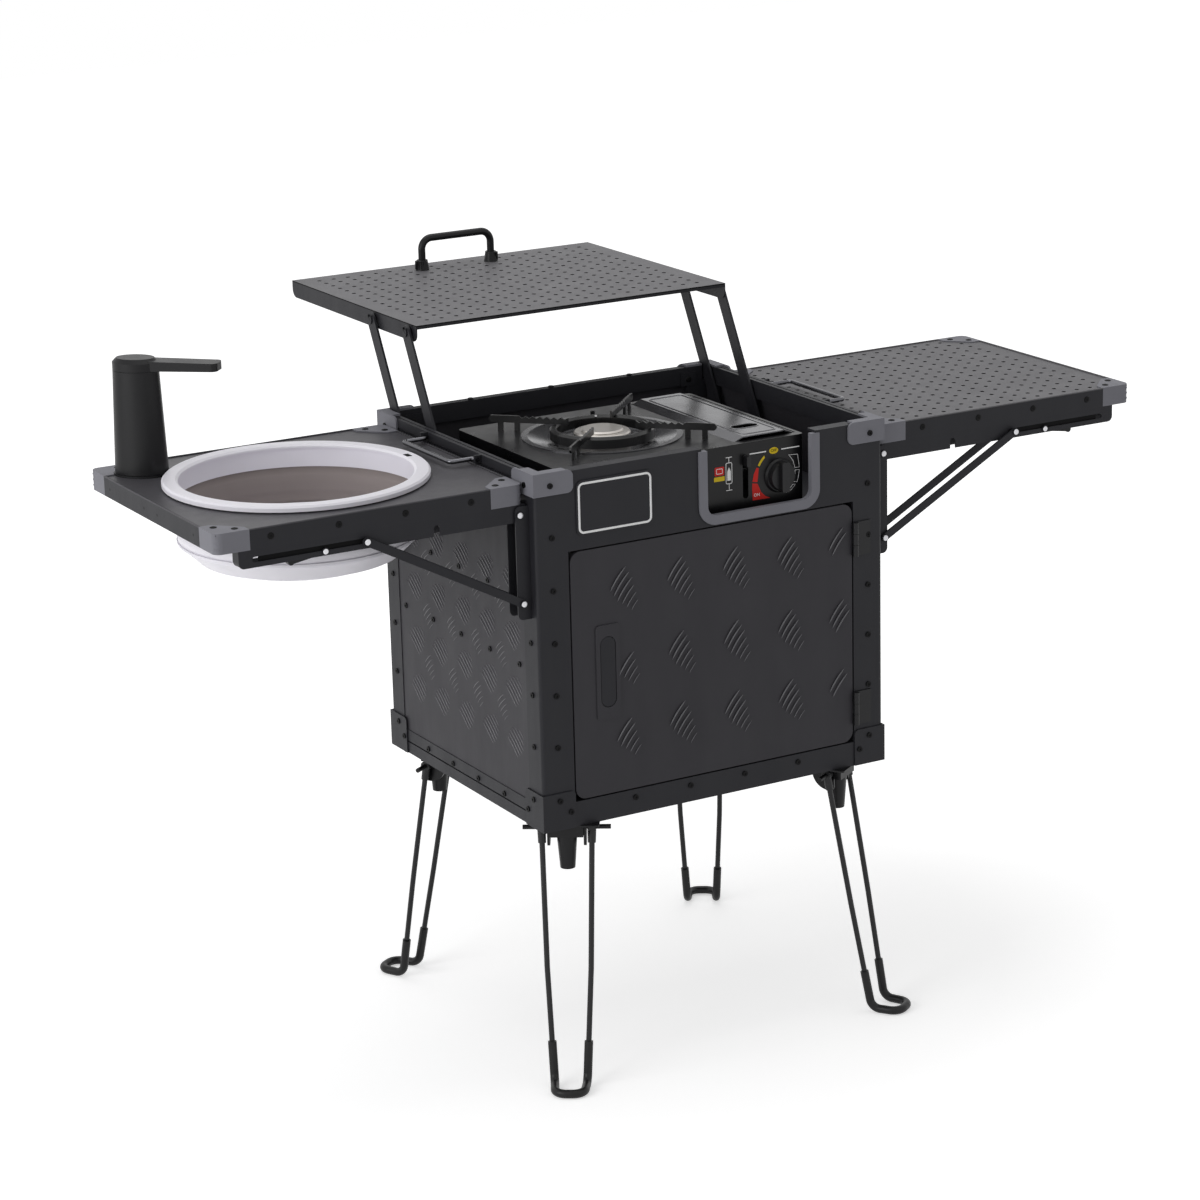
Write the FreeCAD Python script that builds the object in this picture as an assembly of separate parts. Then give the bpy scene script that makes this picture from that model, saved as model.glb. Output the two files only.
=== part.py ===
import FreeCAD, Part
import math
import os

# Camp kitchen box: a framed metal box on four folding wire legs, with a folding table on each side,
# a lift-back lid, a gas stove in its top, a collapsible basin and a faucet in the left table.
# Lengths are in millimetres. X runs to the right, Y to the back and Z up. While the pieces are drawn,
# zero is the box's lower front left corner; at the end all of them move to the footprint's middle.

Vector = FreeCAD.Vector

# Box frame
box_width = 500.0
box_depth = 414.0
rim_height = 452.0
post_face = 44.0
post_side = 36.0
post_wall = 12.0
post_round = 5.0
rail_wall = 12.0
low_rail_height = 32.0
top_rail_height = 24.0
rail_groove = 2.0
panel_sheet = 3.0
panel_recess = 1.0
front_panel_height = 100.0
front_lip_depth = 15.0
gap = 2.0

# Ledges and the stove's shelf inside the box
ledge_reach = 14.0
ledge_drop = 17.0
ledge_sheet = 2.0
shelf_top = 352.0
shelf_sheet = 3.0
shelf_inset = 1.0
runner_heights = (204.0, 293.0)

# Control cut-out in the front panel and its edge trim
cutout_from_stove = 190.0
cutout_width = 152.0
cutout_bottom = 366.0
cutout_round = 12.0
trim_width = 12.0
trim_bite = 5.0
trim_lip = 2.5

# Bare plate on the front panel
plate_left = 56.0
plate_width = 108.0
plate_bottom = 369.0
plate_height = 69.0
plate_sheet = 1.5
plate_round = 9.0

# Corner caps at the rim and corner guards at the foot
cap_reach = 52.0
cap_drop = 26.0
cap_sheet = 2.5
cap_round = 8.0
guard_reach = 44.0
guard_height = 48.0
guard_sheet = 2.0
guard_round = 6.0

# Door, its hinges and its pull
door_sheet = 2.5
door_thick = 13.5
door_round = 14.0
hinge_heights = (78.0, 303.0)
hinge_height = 44.0
hinge_leaf_width = 24.0
hinge_leaf_sheet = 2.0
hinge_strap_sheet = 1.2
hinge_strap_reach = 12.0
knuckle_radius = 4.0
hinge_pin_radius = 1.6
running_gap = 0.05
knuckle_gap = 0.4
pull_left = 84.0
pull_width = 22.0
pull_bottom = 146.0
pull_height = 91.0
pull_cup_depth = 11.0
pull_wall = 2.0
pull_plate_sheet = 1.5
pull_plate_margin = 6.0
pull_plate_end = 15.0
pull_plate_round = 5.0
pull_flap_gap = 0.8
pull_flap_thick = 3.0
pull_flap_rise = 1.0
pull_flap_turn = 18.0
pull_pin_radius = 1.2
pull_pin_inset = 2.5
catch_height = 30.0
catch_reach = 16.0
catch_depth = 10.0
catch_gap = 0.4

# Carry handles
bail_length = 128.0
bail_reach = 33.0
bail_rod = 3.0
bail_height = 446.0
bail_out = 5.0
ear_width = 10.0
ear_gap = 0.4

# Lid and its four links
lid_gap = 20.0
lid_inset = 22.0
lid_sheet = 1.5
lid_drop = 22.0
lid_hem = 10.0
lid_shift = 105.0
lid_top_rest = 575.0
lid_top_closed = 468.0
lid_pivot_inset = 20.0
lid_pivot_drop = 12.0
link_spacing = 100.0
link_foot_height = 365.0
link_foot_inset = 61.0
link_width = 20.0
link_sheet = 3.0
link_wall_gap = 14.5
link_pin_radius = 3.0
link_way_depth = 10.5
link_way_height = 20.0
pin_head_radius = 5.0
pin_head_height = 1.2
side_gap = 0.4
lid_handle_width = 106.0
lid_handle_height = 43.0
lid_handle_rod = 5.0
lid_handle_inset = 41.0
lid_handle_collar = 7.5
lid_handle_collar_height = 14.0

# Side tables
table_gap = 5.0
table_length = 402.0
table_inset = 18.5
table_top_height = 440.0
table_thick = 25.0
edge_web = 2.5
edge_flange = 18.0
edge_flange_sheet = 2.0
edge_lip = 1.5
table_sheet = 1.5
corner_reach = 44.0
corner_width = 14.0
corner_wall = 4.0
corner_round = 10.0
corner_fillet = 4.0

# Folding brackets under the tables
fold_out = 12.5
fold_height = 403.0
bar_front = 15.0
bar_width = 24.0
bar_low = 272.0
bar_depth = 18.5
bar_sheet = 2.0
bar_round = 7.0
bar_top_round = 10.5
arm_gap = 1.5
arm_below = 9.5
arm_wall = 1.5
arm_end_round = 7.0
arm_length = 366.0
slot_height = 6.6
slot_start = 197.0
strut_foot_height = 293.0
strut_reach = 204.5
strut_width = 10.0
strut_sheet = 2.5
strut_gap = 0.5
fold_pin_radius = 3.0
rivet_radius = 4.5
rivet_height = 1.5
pin_notch_gap = 1.0
lever_place = 256.0
lever_rise = 4.5
lever_reach = 42.0
lever_drop = 16.0
lever_thick = 8.0
lever_height = 6.0
lever_tip = 4.0
lever_pin_radius = 1.5
lever_turn = 13.0

# Basin
basin_shift = 11.0
basin_forward = 4.0
basin_arm_gap = 12.0
basin_rim_out = 11.0
basin_rim_in = 9.0
basin_rim_height = 7.0
basin_rim_seat = 0.3
basin_wall = 3.0
basin_wall_depth = 30.0
basin_soft_depth = 45.0
basin_soft_lap = 18.0
basin_soft_sheet = 2.5
basin_folds = 4
basin_fold_depth = 5.0
basin_base_step = 8.0
basin_base_slope = 46.0
basin_base_depth = 34.0
basin_base_sheet = 3.0
basin_lift = 95.0
basin_floor_travel = 57.0
table_hole_gap = 3.5
drain_radius = 14.0
drain_height = 1.5

# Faucet
faucet_out = 356.0
faucet_inset = 55.5
faucet_long = 34.0
faucet_short = 25.0
faucet_height = 146.0
faucet_top_share = 0.86
faucet_head_height = 15.0
faucet_crown = 5.0
faucet_seam = 0.4
socket_lip = 1.5
socket_height = 3.0
peg_radius = 14.0
peg_length = 12.0
neck_radius = 9.0
neck_length = 6.0
spout_length = 108.0
spout_width = 26.0
spout_tip_thick = 10.0
spout_droop = 3.0
spout_round = 7.0
mouth_radius = 6.0
mouth_depth = 4.0
faucet_lift = 45.0

# Stove
stove_left = 51.0
stove_front = 20.0
stove_width = 345.0
stove_depth = 275.0
stove_height = 85.0
stove_sheet = 1.5
stove_foot_radius = 9.0
stove_foot_height = 8.0
stove_foot_inset = 24.0
stove_round = 6.0
burner_in = 136.0
burner_back = 142.0
pan_hole_radius = 98.0
pan_lip = 4.0
pan_depth = 9.0
pan_flat_radius = 62.0
pan_sheet = 1.2
burner_radius = 36.0
burner_height = 15.0
burner_neck_radius = 17.0
burner_cap_radius = 27.0
burner_cap_height = 3.0
support_ring_radius = 66.0
support_ring_width = 9.0
support_ring_height = 14.0
support_ring_sink = 2.5
support_arm_sheet = 3.0
support_arm_reach = 148.0
support_arm_inner = 44.0
support_top = 20.0
support_arm_height = 9.0
support_post_inset = 15.0
support_post_spacing = 22.0
support_post_width = 7.0
support_flat_length = 39.0
support_teeth = 7
support_arms = 4
support_tooth_height = 3.0
bay_left = 249.0
bay_right = 4.5
bay_front = 12.0
bay_back = 10.0
cover_gap = 1.0
cover_rise = 5.0
cover_shoulder = 14.0
cover_sheet = 1.5
cover_knuckle = 2.6
cover_pin_radius = 1.4
cover_hole_radius = 8.0
cover_hole_long = 36.0
cover_hole_back = 46.0
knob_in = 308.4
knob_up = 36.5
knob_radius = 22.0
knob_depth = 15.0
knob_bar_width = 11.0
knob_bar_depth = 6.0
knob_skirt = 3.0
knob_gap = 1.0
knob_shaft_radius = 3.5
gas_slot_in = 254.5
gas_slot_width = 8.0
gas_slot_low = 14.0
gas_slot_high = 70.0
gas_tab_height = 13.0
gas_tab_out = 9.0
gas_tab_in = 14.0
gas_tab_gap = 1.0
gas_travel = 34.0
regulator_width = 50.0
regulator_depth = 34.0
regulator_height = 36.0
regulator_back = 12.0
mixer_radius = 8.0

# Legs
leg_in = 49.0
leg_back = 33.0
leg_turn = 32.4
leg_pivot_drop = 11.0
rear_pivot_drop = 20.5
floor_drop = 335.0
wire_radius = 3.5
leg_spread = 31.5
knee_spread = 27.5
knee_share = 0.55
elbow_spread = 20.5
toe_spread = 18.0
elbow_out = 57.0
toe_reach = 38.0
knee_radius = 300.0
elbow_radius = 14.0
toe_radius = 15.0
rubber_radius = 5.5
rubber_length = 52.0
eye_radius = 6.5
eye_width = 9.0
eye_sleeve_length = 20.0
eye_sleeve_radius = 5.0
axle_radius = 3.0
axle_length = 110.0
cheek_inner = 21.0
cheek_gap = 0.5
cheek_radius = 24.0
cheek_heel = 5.0
leg_plate_sheet = 2.0
leg_plate_length = 84.0
leg_plate_width = 56.0
saddle_drop = 20.0
saddle_width = 30.0
short_foot_radius = 13.0
short_foot_tip = 9.5
short_foot_bottom = 64.0
leg_fold = 100.15

# Screw heads that show on the frame
screw_radius = 3.6
screw_height = 1.5
screw_socket = 1.5
screw_pitch = 66.5
screw_start = 106.5
screw_rows = 5
screw_inset = 22.0
side_screw_rows = 3
side_screw_inset = 20.0
side_screw_end = 53.0
side_screw_count = 5
low_screw_height = 21.5
low_screw_end = 103.0
low_screw_count = 4
guard_screw_high = 38.0
guard_screw_out = 37.0
cap_screw_inset = 20.0
cap_screw_drop = 14.0
front_screw_start = 130.0
front_screw_pitch = 80.0
front_screw_count = 4
rim_screw_pitch = 120.0
rim_screw_count = 3

overrun = 1.0
round_share = 0.49
tiny = 0.000001
full_turn = 360.0
half_turn = 180.0
quarter_turn = 90.0

east = Vector(1, 0, 0)
north = Vector(0, 1, 0)
up = Vector(0, 0, 1)
nodes = {}


def block(x0, x1, y0, y1, z0, z1):
    """A block between two corners."""
    return Part.makeBox(x1 - x0, y1 - y0, z1 - z0, Vector(x0, y0, z0))


def rod(start, direction, radius, length):
    """A round rod from a point along a direction."""
    return Part.makeCylinder(radius, length, start, direction)


def corner_arc(before, corner, after, radius):
    """The start, middle and end of the arc that rounds a corner."""
    to_before = (before - corner).normalize()
    to_after = (after - corner).normalize()
    if radius == 0:
        return corner, None, corner
    half = to_before.getAngle(to_after) / 2
    reach = radius / math.tan(half)
    inward = (to_before + to_after).normalize()
    middle = corner + inward * (radius / math.sin(half) - radius)
    return corner + to_before * reach, middle, corner + to_after * reach


def closed_wire(points, radii):
    """A closed wire through the points, each corner rounded by its own radius."""
    count = len(points)
    corners = [corner_arc(points[i - 1], points[i], points[(i + 1) % count], radii[i])
               for i in range(count)]
    edges = []
    for i, (start, middle, end) in enumerate(corners):
        if middle is not None:
            edges.append(Part.Arc(start, middle, end).toShape())
        following = corners[(i + 1) % count][0]
        if (following - end).Length > tiny:
            edges.append(Part.LineSegment(end, following).toShape())
    return Part.Wire(edges)


def open_wire(points, radii):
    """An open wire through the points, each inner corner rounded by its own radius."""
    edges = []
    here = points[0]
    for i in range(1, len(points) - 1):
        start, middle, end = corner_arc(points[i - 1], points[i], points[i + 1], radii[i - 1])
        edges.append(Part.LineSegment(here, start).toShape())
        edges.append(Part.Arc(start, middle, end).toShape())
        here = end
    edges.append(Part.LineSegment(here, points[-1]).toShape())
    return Part.Wire(edges)


def plate(points, radii, push):
    """A flat plate with rounded corners, pushed out along a vector."""
    return Part.Face(closed_wire(points, radii)).extrude(push)


def front_plate(x0, x1, z0, z1, y0, y1, radius):
    """An upright plate that faces the front, with rounded corners."""
    points = [Vector(x0, y0, z0), Vector(x1, y0, z0), Vector(x1, y0, z1), Vector(x0, y0, z1)]
    return plate(points, [radius] * len(points), Vector(0, y1 - y0, 0))


def level_plate(x0, x1, y0, y1, z0, z1, radius):
    """A level plate with rounded corners."""
    points = [Vector(x0, y0, z0), Vector(x1, y0, z0), Vector(x1, y1, z0), Vector(x0, y1, z0)]
    return plate(points, [radius] * len(points), Vector(0, 0, z1 - z0))


def turned(points, centre):
    """A solid of revolution about an upright axis, from (radius, height) points."""
    corners = [Vector(centre.x + radius, centre.y, centre.z + height) for radius, height in points]
    face = Part.Face(Part.makePolygon(corners + corners[:1]))
    return face.revolve(centre, up, full_turn)


def swept(path, radius):
    """A round wire along a path."""
    start = path.Edges[0].valueAt(path.Edges[0].FirstParameter)
    direction = path.Edges[0].tangentAt(path.Edges[0].FirstParameter)
    ring = Part.Wire([Part.makeCircle(radius, start, direction)])
    return path.makePipeShell([ring], True, True)


def other_side(shape):
    """The mirror image on the right side of the box."""
    return shape.mirror(Vector(box_width / 2, 0, 0), east)


def other_end(shape):
    """The mirror image at the back of the box."""
    return shape.mirror(Vector(0, box_depth / 2, 0), north)


def both_sides(shapes):
    return shapes + [other_side(shape) for shape in shapes]


def both_ends(shapes):
    return shapes + [other_end(shape) for shape in shapes]


def four_corners(shapes):
    return both_sides(both_ends(shapes))


# Frame of the box

def corner_post():
    """One L-shaped corner post with a rounded outer edge."""
    points = [Vector(0, 0, 0), Vector(post_face, 0, 0), Vector(post_face, post_wall, 0),
              Vector(post_wall, post_wall, 0), Vector(post_wall, post_side, 0),
              Vector(0, post_side, 0)]
    return plate(points, [post_round, 0, 0, 0, 0, 0], Vector(0, 0, rim_height))


def side_rail(low, high):
    """A rail between the posts of the left side, with a shallow groove along two faces."""
    rail = block(0, rail_wall, post_side, box_depth - post_side, low, high)
    middle = (low + high) / 2
    groove = block(-overrun, rail_groove, post_side, box_depth - post_side,
                   middle - rail_groove / 2, middle + rail_groove / 2)
    half = rail_wall / 2
    top_groove = block(half - rail_groove / 2, half + rail_groove / 2, post_side,
                       box_depth - post_side, high - rail_groove / 2, high + overrun)
    return rail.cut([groove, top_groove])


def link_way():
    """A slot in the top of a rear post, where the rear link of the lid passes."""
    x1 = link_wall_gap + link_sheet
    back = box_depth - post_wall + link_way_depth
    return block(link_wall_gap - gap, x1 + gap, box_depth - post_wall - overrun, back,
                 rim_height - link_way_height, rim_height + 2 * cap_sheet)


def cut_rear(shapes):
    """The four corner pieces, the two rear ones with the slot for the lid's link."""
    way = link_way()
    return [shape.cut([way, other_side(way)]) for shape in shapes]


def build_frame():
    nodes["corner_posts"] = cut_rear(four_corners([corner_post()]))
    top_low = rim_height - top_rail_height
    inner_right = box_width - post_face
    side_rails = both_sides([side_rail(0, low_rail_height), side_rail(top_low, rim_height)])
    front_rail = block(post_face, inner_right, 0, rail_wall, 0, low_rail_height)
    back_rail = block(post_face, inner_right, box_depth - rail_wall, box_depth, 0, low_rail_height)
    rear_rim = block(post_face, inner_right, box_depth - rail_wall, box_depth, top_low, rim_height)
    nodes["frame_rails"] = side_rails + [front_rail, back_rail, rear_rim]


def build_panels():
    top_low = rim_height - top_rail_height
    side = block(panel_recess, panel_recess + panel_sheet, post_side, box_depth - post_side,
                 low_rail_height, top_low)
    nodes["side_panels"] = both_sides([side])
    back = box_depth - panel_recess
    nodes["back_panel"] = [block(post_face, box_width - post_face, back - panel_sheet, back,
                                 low_rail_height, top_low)]
    nodes["floor_panel"] = [block(rail_wall, box_width - rail_wall, rail_wall,
                                  box_depth - rail_wall, 0, panel_sheet)]


cutout_left = stove_left + cutout_from_stove
cutout_right = cutout_left + cutout_width


def cutout_block(grow, y0, y1):
    """The control cut-out, open at the top and grown by a margin, as a solid to cut with."""
    top = rim_height + overrun
    points = [Vector(cutout_left - grow, y0, cutout_bottom - grow),
              Vector(cutout_right + grow, y0, cutout_bottom - grow),
              Vector(cutout_right + grow, y0, top), Vector(cutout_left - grow, y0, top)]
    radius = cutout_round + grow
    return plate(points, [radius, radius, 0, 0], Vector(0, y1 - y0, 0))


def build_front_panel():
    """The upper front panel with its lips, its cut-out and the trim on the cut edge."""
    low = rim_height - front_panel_height
    right = box_width - post_face
    face = block(post_face, right, 0, panel_sheet, low, rim_height)
    lip = block(post_face, right, panel_sheet, panel_sheet + front_lip_depth,
                rim_height - panel_sheet, rim_height)
    hem = block(post_face, right, panel_sheet, rail_wall, low, low + panel_sheet)
    bite = trim_width - trim_bite
    panel = face.fuse([lip, hem]).removeSplitter()
    panel = panel.cut(cutout_block(bite, -overrun, front_lip_depth + 2 * panel_sheet))
    nodes["front_panel"] = [panel]
    front_lip = cutout_block(trim_width, -trim_lip, 0).cut(cutout_block(0, -trim_lip, 0))
    back_lip = cutout_block(trim_width - trim_lip, panel_sheet, panel_sheet + trim_lip)
    back_lip = back_lip.cut(cutout_block(0, panel_sheet, panel_sheet + trim_lip))
    bridge = cutout_block(bite, 0, panel_sheet).cut(cutout_block(0, 0, panel_sheet))
    trim = front_lip.fuse([back_lip, bridge]).removeSplitter()
    above = block(0, box_width, -box_depth, box_depth, rim_height - panel_sheet, 2 * rim_height)
    nodes["cutout_trim"] = [trim.cut(above)]
    nodes["bare_plate"] = [front_plate(plate_left, plate_left + plate_width, plate_bottom,
                                       plate_bottom + plate_height, -plate_sheet, 0, plate_round)]


def build_inside():
    """Ledges on the side panels, and the shelf that the stove stands on."""
    x0 = panel_recess + panel_sheet
    ledges = []
    middles = runner_heights + (shelf_top - shelf_sheet - ledge_drop / 2,)
    for middle in middles:
        low = middle - ledge_drop / 2
        top = middle + ledge_drop / 2
        upright = block(x0, x0 + ledge_sheet, post_side, box_depth - post_side, low, top)
        shelf = block(x0, x0 + ledge_reach, post_side, box_depth - post_side,
                      top - ledge_sheet, top)
        ledges.append(upright.fuse(shelf).removeSplitter())
    x1 = post_wall + shelf_inset
    shelf = block(x1, box_width - x1, door_thick + gap, box_depth - x1,
                  shelf_top - shelf_sheet, shelf_top)
    nodes["shelf_and_ledges"] = [shelf] + both_sides(ledges)


def top_cap():
    """A grey cap over one upper corner: two outer faces and a plate on the post's end."""
    low = rim_height - cap_drop
    top = rim_height + cap_sheet
    s = cap_sheet
    front = plate([Vector(-s, -s, low), Vector(cap_reach, -s, low), Vector(cap_reach, -s, top),
                   Vector(-s, -s, top)], [0, cap_round, cap_round, 0], Vector(0, s, 0))
    side = plate([Vector(-s, 0, low), Vector(-s, cap_reach, low), Vector(-s, cap_reach, top),
                  Vector(-s, 0, top)], [0, cap_round, cap_round, 0], Vector(s, 0, 0))
    lid = block(0, post_face, 0, post_wall, rim_height, top)
    lid_side = block(0, post_wall, post_wall, post_side, rim_height, top)
    return front.fuse([side, lid, lid_side]).removeSplitter()


def foot_guard():
    """A black guard on two faces of one lower corner."""
    s = guard_sheet
    front = plate([Vector(-s, -s, 0), Vector(guard_reach, -s, 0),
                   Vector(guard_reach, -s, guard_height), Vector(-s, -s, guard_height)],
                  [0, 0, guard_round, 0], Vector(0, s, 0))
    side = plate([Vector(-s, 0, 0), Vector(-s, guard_reach, 0),
                  Vector(-s, guard_reach, guard_height), Vector(-s, 0, guard_height)],
                 [0, 0, guard_round, 0], Vector(s, 0, 0))
    return front.fuse(side).removeSplitter()


def build_corners():
    nodes["top_caps"] = cut_rear(four_corners([top_cap()]))
    nodes["foot_guards"] = four_corners([foot_guard()])


# Door

door_left = post_face + gap
door_right = box_width - post_face - gap
door_low = low_rail_height + gap
door_high = rim_height - front_panel_height - gap
hinge_x = door_right + hinge_strap_sheet + knuckle_radius / 2
hinge_y = -knuckle_radius
pull_right = pull_left + pull_width
pull_top = pull_bottom + pull_height
pull_pivot_x = pull_right - pull_flap_gap - pull_flap_thick / 2
pull_pivot_y = pull_flap_thick / 2 - pull_flap_rise
catch_z = pull_bottom + pull_height / 2


def pull_outline(grow, y0, y1):
    """The long round-ended opening of the pull, grown by a margin, as a solid."""
    width = pull_width + 2 * grow
    return front_plate(pull_left - grow, pull_right + grow, pull_bottom - grow, pull_top + grow,
                       y0, y1, width * round_share)


def pull_pin(radius):
    """The upright pin that the pull's flap turns on."""
    length = pull_height - 2 * pull_pin_inset
    return rod(Vector(pull_pivot_x, pull_pivot_y, pull_bottom + pull_pin_inset), up, radius, length)


def build_pull():
    """The cup of the pull with its face plate, and the flap that fills it."""
    margin = pull_plate_margin
    face = front_plate(pull_left - margin, pull_right + margin, pull_bottom - pull_plate_end,
                       pull_top + pull_plate_end, -pull_plate_sheet, 0, pull_plate_round)
    cup = pull_outline(pull_wall, 0, pull_cup_depth).fuse(face)
    well = pull_outline(0, -2 * pull_plate_sheet, pull_cup_depth - pull_wall)
    cup = cup.cut(well).cut(pull_pin(pull_pin_radius + running_gap)).removeSplitter()
    flap = pull_outline(-pull_flap_gap, -pull_flap_rise, pull_flap_thick - pull_flap_rise)
    nodes["pull_flap"] = [flap.fuse(pull_pin(pull_pin_radius)).removeSplitter()]
    return cup


def build_door():
    """The door as a shallow tray with its pull, and the catch behind its free edge."""
    tray = front_plate(door_left, door_right, door_low, door_high, 0, door_thick, door_round)
    hollow = front_plate(door_left + door_sheet, door_right - door_sheet, door_low + door_sheet,
                         door_high - door_sheet, door_sheet, door_thick + overrun,
                         door_round - door_sheet)
    window = pull_outline(pull_wall, -overrun, door_sheet + overrun)
    nodes["door_panel"] = [tray.cut(hollow).cut(window), build_pull()]
    low = catch_z - catch_height / 2
    high = catch_z + catch_height / 2
    back = door_thick + catch_gap + catch_depth
    body = block(post_face - catch_reach, post_face, post_wall, back, low, high)
    nose = block(post_face, post_face + catch_reach, door_thick + catch_gap, back, low, high)
    nodes["door_catch"] = [body.fuse(nose).removeSplitter()]


def knuckle(low, high, hole):
    tube = rod(Vector(hinge_x, hinge_y, low), up, knuckle_radius, high - low)
    return tube.cut(rod(Vector(hinge_x, hinge_y, low - overrun), up, hole, high - low + 2 * overrun))


def post_screw_heights():
    return [screw_start + screw_pitch * row for row in range(screw_rows)]


def build_door_hinges():
    """Two butt hinges: fixed leaves on the post, moving leaves on the door, and their pins."""
    fixed = []
    moving = []
    third = hinge_height / 3
    leaf_out = hinge_x + hinge_leaf_width
    bore_radius = hinge_pin_radius + running_gap
    ways = [rod(Vector(box_width - screw_inset, 0, z), -north, screw_radius + side_gap,
                hinge_leaf_sheet) for z in post_screw_heights()]
    for middle in hinge_heights:
        low = middle - hinge_height / 2
        high = middle + hinge_height / 2
        sweep = rod(Vector(hinge_x, hinge_y, low + third), up, knuckle_radius + knuckle_gap, third)
        leaf = block(hinge_x, leaf_out, -hinge_leaf_sheet, 0, low, high).cut([sweep] + ways)
        ends = [knuckle(low, low + third, hinge_pin_radius),
                knuckle(high - third, high, hinge_pin_radius)]
        pin = rod(Vector(hinge_x, hinge_y, low), up, hinge_pin_radius, hinge_height)
        fixed.append(leaf.fuse(ends + [pin]).removeSplitter())
        z0 = low + third + knuckle_gap
        z1 = high - third - knuckle_gap
        strap = block(door_right, door_right + hinge_strap_sheet, hinge_y,
                      hinge_strap_reach, z0, z1)
        bore = rod(Vector(hinge_x, hinge_y, low), up, bore_radius, hinge_height)
        moving.append(strap.fuse(knuckle(z0, z1, bore_radius)).cut(bore).removeSplitter())
    nodes["hinge_leaves_fixed"] = fixed
    nodes["hinge_leaves_door"] = moving


# Carry handles

bail_back = box_depth / 2


def bail():
    """A folding bail on the left side, lying outward over the table's inner edge."""
    y0 = bail_back - bail_length / 2
    y1 = bail_back + bail_length / 2
    x0 = -bail_out
    x1 = -bail_out - bail_reach
    points = [Vector(x0, y0 - ear_width, bail_height), Vector(x0, y0, bail_height),
              Vector(x1, y0, bail_height), Vector(x1, y1, bail_height),
              Vector(x0, y1, bail_height), Vector(x0, y1 + ear_width, bail_height)]
    turn = 2 * bail_rod
    return swept(open_wire(points, [turn] * (len(points) - 2)), bail_rod)


def bail_ears():
    """Two ears on the rail that hold the ends of the bail."""
    ears = []
    for sign in (-1, 1):
        inner = bail_back + sign * (bail_length / 2 + 2 * bail_rod + ear_gap)
        outer = bail_back + sign * (bail_length / 2 + ear_width + ear_gap)
        y0 = min(inner, outer)
        y1 = max(inner, outer)
        low = bail_height - bail_rod - ear_gap
        x0 = -bail_out - bail_rod - running_gap - cap_sheet / 2
        ear = block(x0, 0, y0, y1, low, rim_height)
        hole = rod(Vector(-bail_out, y0 - overrun, bail_height), north,
                   bail_rod + running_gap, y1 - y0 + 2 * overrun)
        ears.append(ear.cut(hole))
    return ears


def build_bails():
    one = bail()
    nodes["left_bail"] = [one]
    nodes["right_bail"] = [other_side(one)]
    nodes["bail_ears"] = both_sides(bail_ears())


# Lid and links

lid_left = lid_gap
lid_right = box_width - lid_gap
lid_depth = box_depth - 2 * lid_inset
link_foot_front = box_depth - link_foot_inset - link_spacing
lid_front_rest = link_foot_front + lid_shift - lid_pivot_inset
lid_back_rest = lid_front_rest + lid_depth
lid_pivot_height = lid_top_rest - lid_pivot_drop
lid_pivots = (lid_front_rest + lid_pivot_inset, lid_front_rest + lid_pivot_inset + link_spacing)
link_feet = (link_foot_front, link_foot_front + link_spacing)
link_rise = lid_pivot_height - link_foot_height
link_length = math.hypot(link_rise, lid_shift)
closed_rise = lid_top_closed - lid_pivot_drop - link_foot_height
lid_travel = (math.degrees(math.atan2(lid_shift, link_rise))
              + math.degrees(math.acos(closed_rise / link_length)))


def lid_pins():
    """The headed pins that join the links to the left flange of the lid."""
    pins = []
    inner = link_wall_gap - side_gap - pin_head_height
    for y in lid_pivots:
        head = rod(Vector(inner, y, lid_pivot_height), east, pin_head_radius, pin_head_height)
        pin = rod(Vector(inner, y, lid_pivot_height), east, link_pin_radius, lid_left - inner)
        pins.append(head.fuse(pin).removeSplitter())
    return pins


def build_lid():
    """The lid's flat sheet, and its folded edges: two side flanges with pins and two hems."""
    low = lid_top_rest - lid_drop
    under = lid_top_rest - lid_sheet
    nodes["lid_panel"] = [block(lid_left, lid_right, lid_front_rest, lid_back_rest, under,
                                lid_top_rest)]
    round_end = lid_drop / 2
    flange = plate([Vector(lid_left, lid_front_rest, low), Vector(lid_left, lid_back_rest, low),
                    Vector(lid_left, lid_back_rest, under),
                    Vector(lid_left, lid_front_rest, under)],
                   [round_end, round_end, 0, 0], Vector(lid_sheet, 0, 0))
    hems = [block(lid_left + lid_sheet, lid_right - lid_sheet, y, y + lid_sheet,
                  lid_top_rest - lid_hem, under)
            for y in (lid_front_rest, lid_back_rest - lid_sheet)]
    nodes["lid_edges"] = both_sides([flange]) + hems + both_sides(lid_pins())


def build_lid_handle():
    """A bent rod handle standing in two collars near the lid's rear edge."""
    y = lid_back_rest - lid_handle_inset
    x0 = box_width / 2 - lid_handle_width / 2
    x1 = box_width / 2 + lid_handle_width / 2
    z1 = lid_top_rest + lid_handle_height
    points = [Vector(x0, y, lid_top_rest), Vector(x0, y, z1), Vector(x1, y, z1),
              Vector(x1, y, lid_top_rest)]
    turn = 3 * lid_handle_rod
    bow = swept(open_wire(points, [turn, turn]), lid_handle_rod)
    collars = []
    for x in (x0, x1):
        collar = Part.makeCone(lid_handle_collar + gap, lid_handle_collar,
                               lid_handle_collar_height, Vector(x, y, lid_top_rest))
        collars.append(collar.cut(rod(Vector(x, y, lid_top_rest), up, lid_handle_rod,
                                      lid_handle_height)))
    nodes["lid_handle"] = [bow] + collars


def link(index):
    """One flat link between its foot on the side wall and its pin on the lid flange."""
    foot = Vector(link_wall_gap, link_feet[index], link_foot_height)
    head = Vector(link_wall_gap, lid_pivots[index], lid_pivot_height)
    return flat_bar(foot, head, east, link_width, link_sheet, link_pin_radius)


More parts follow.
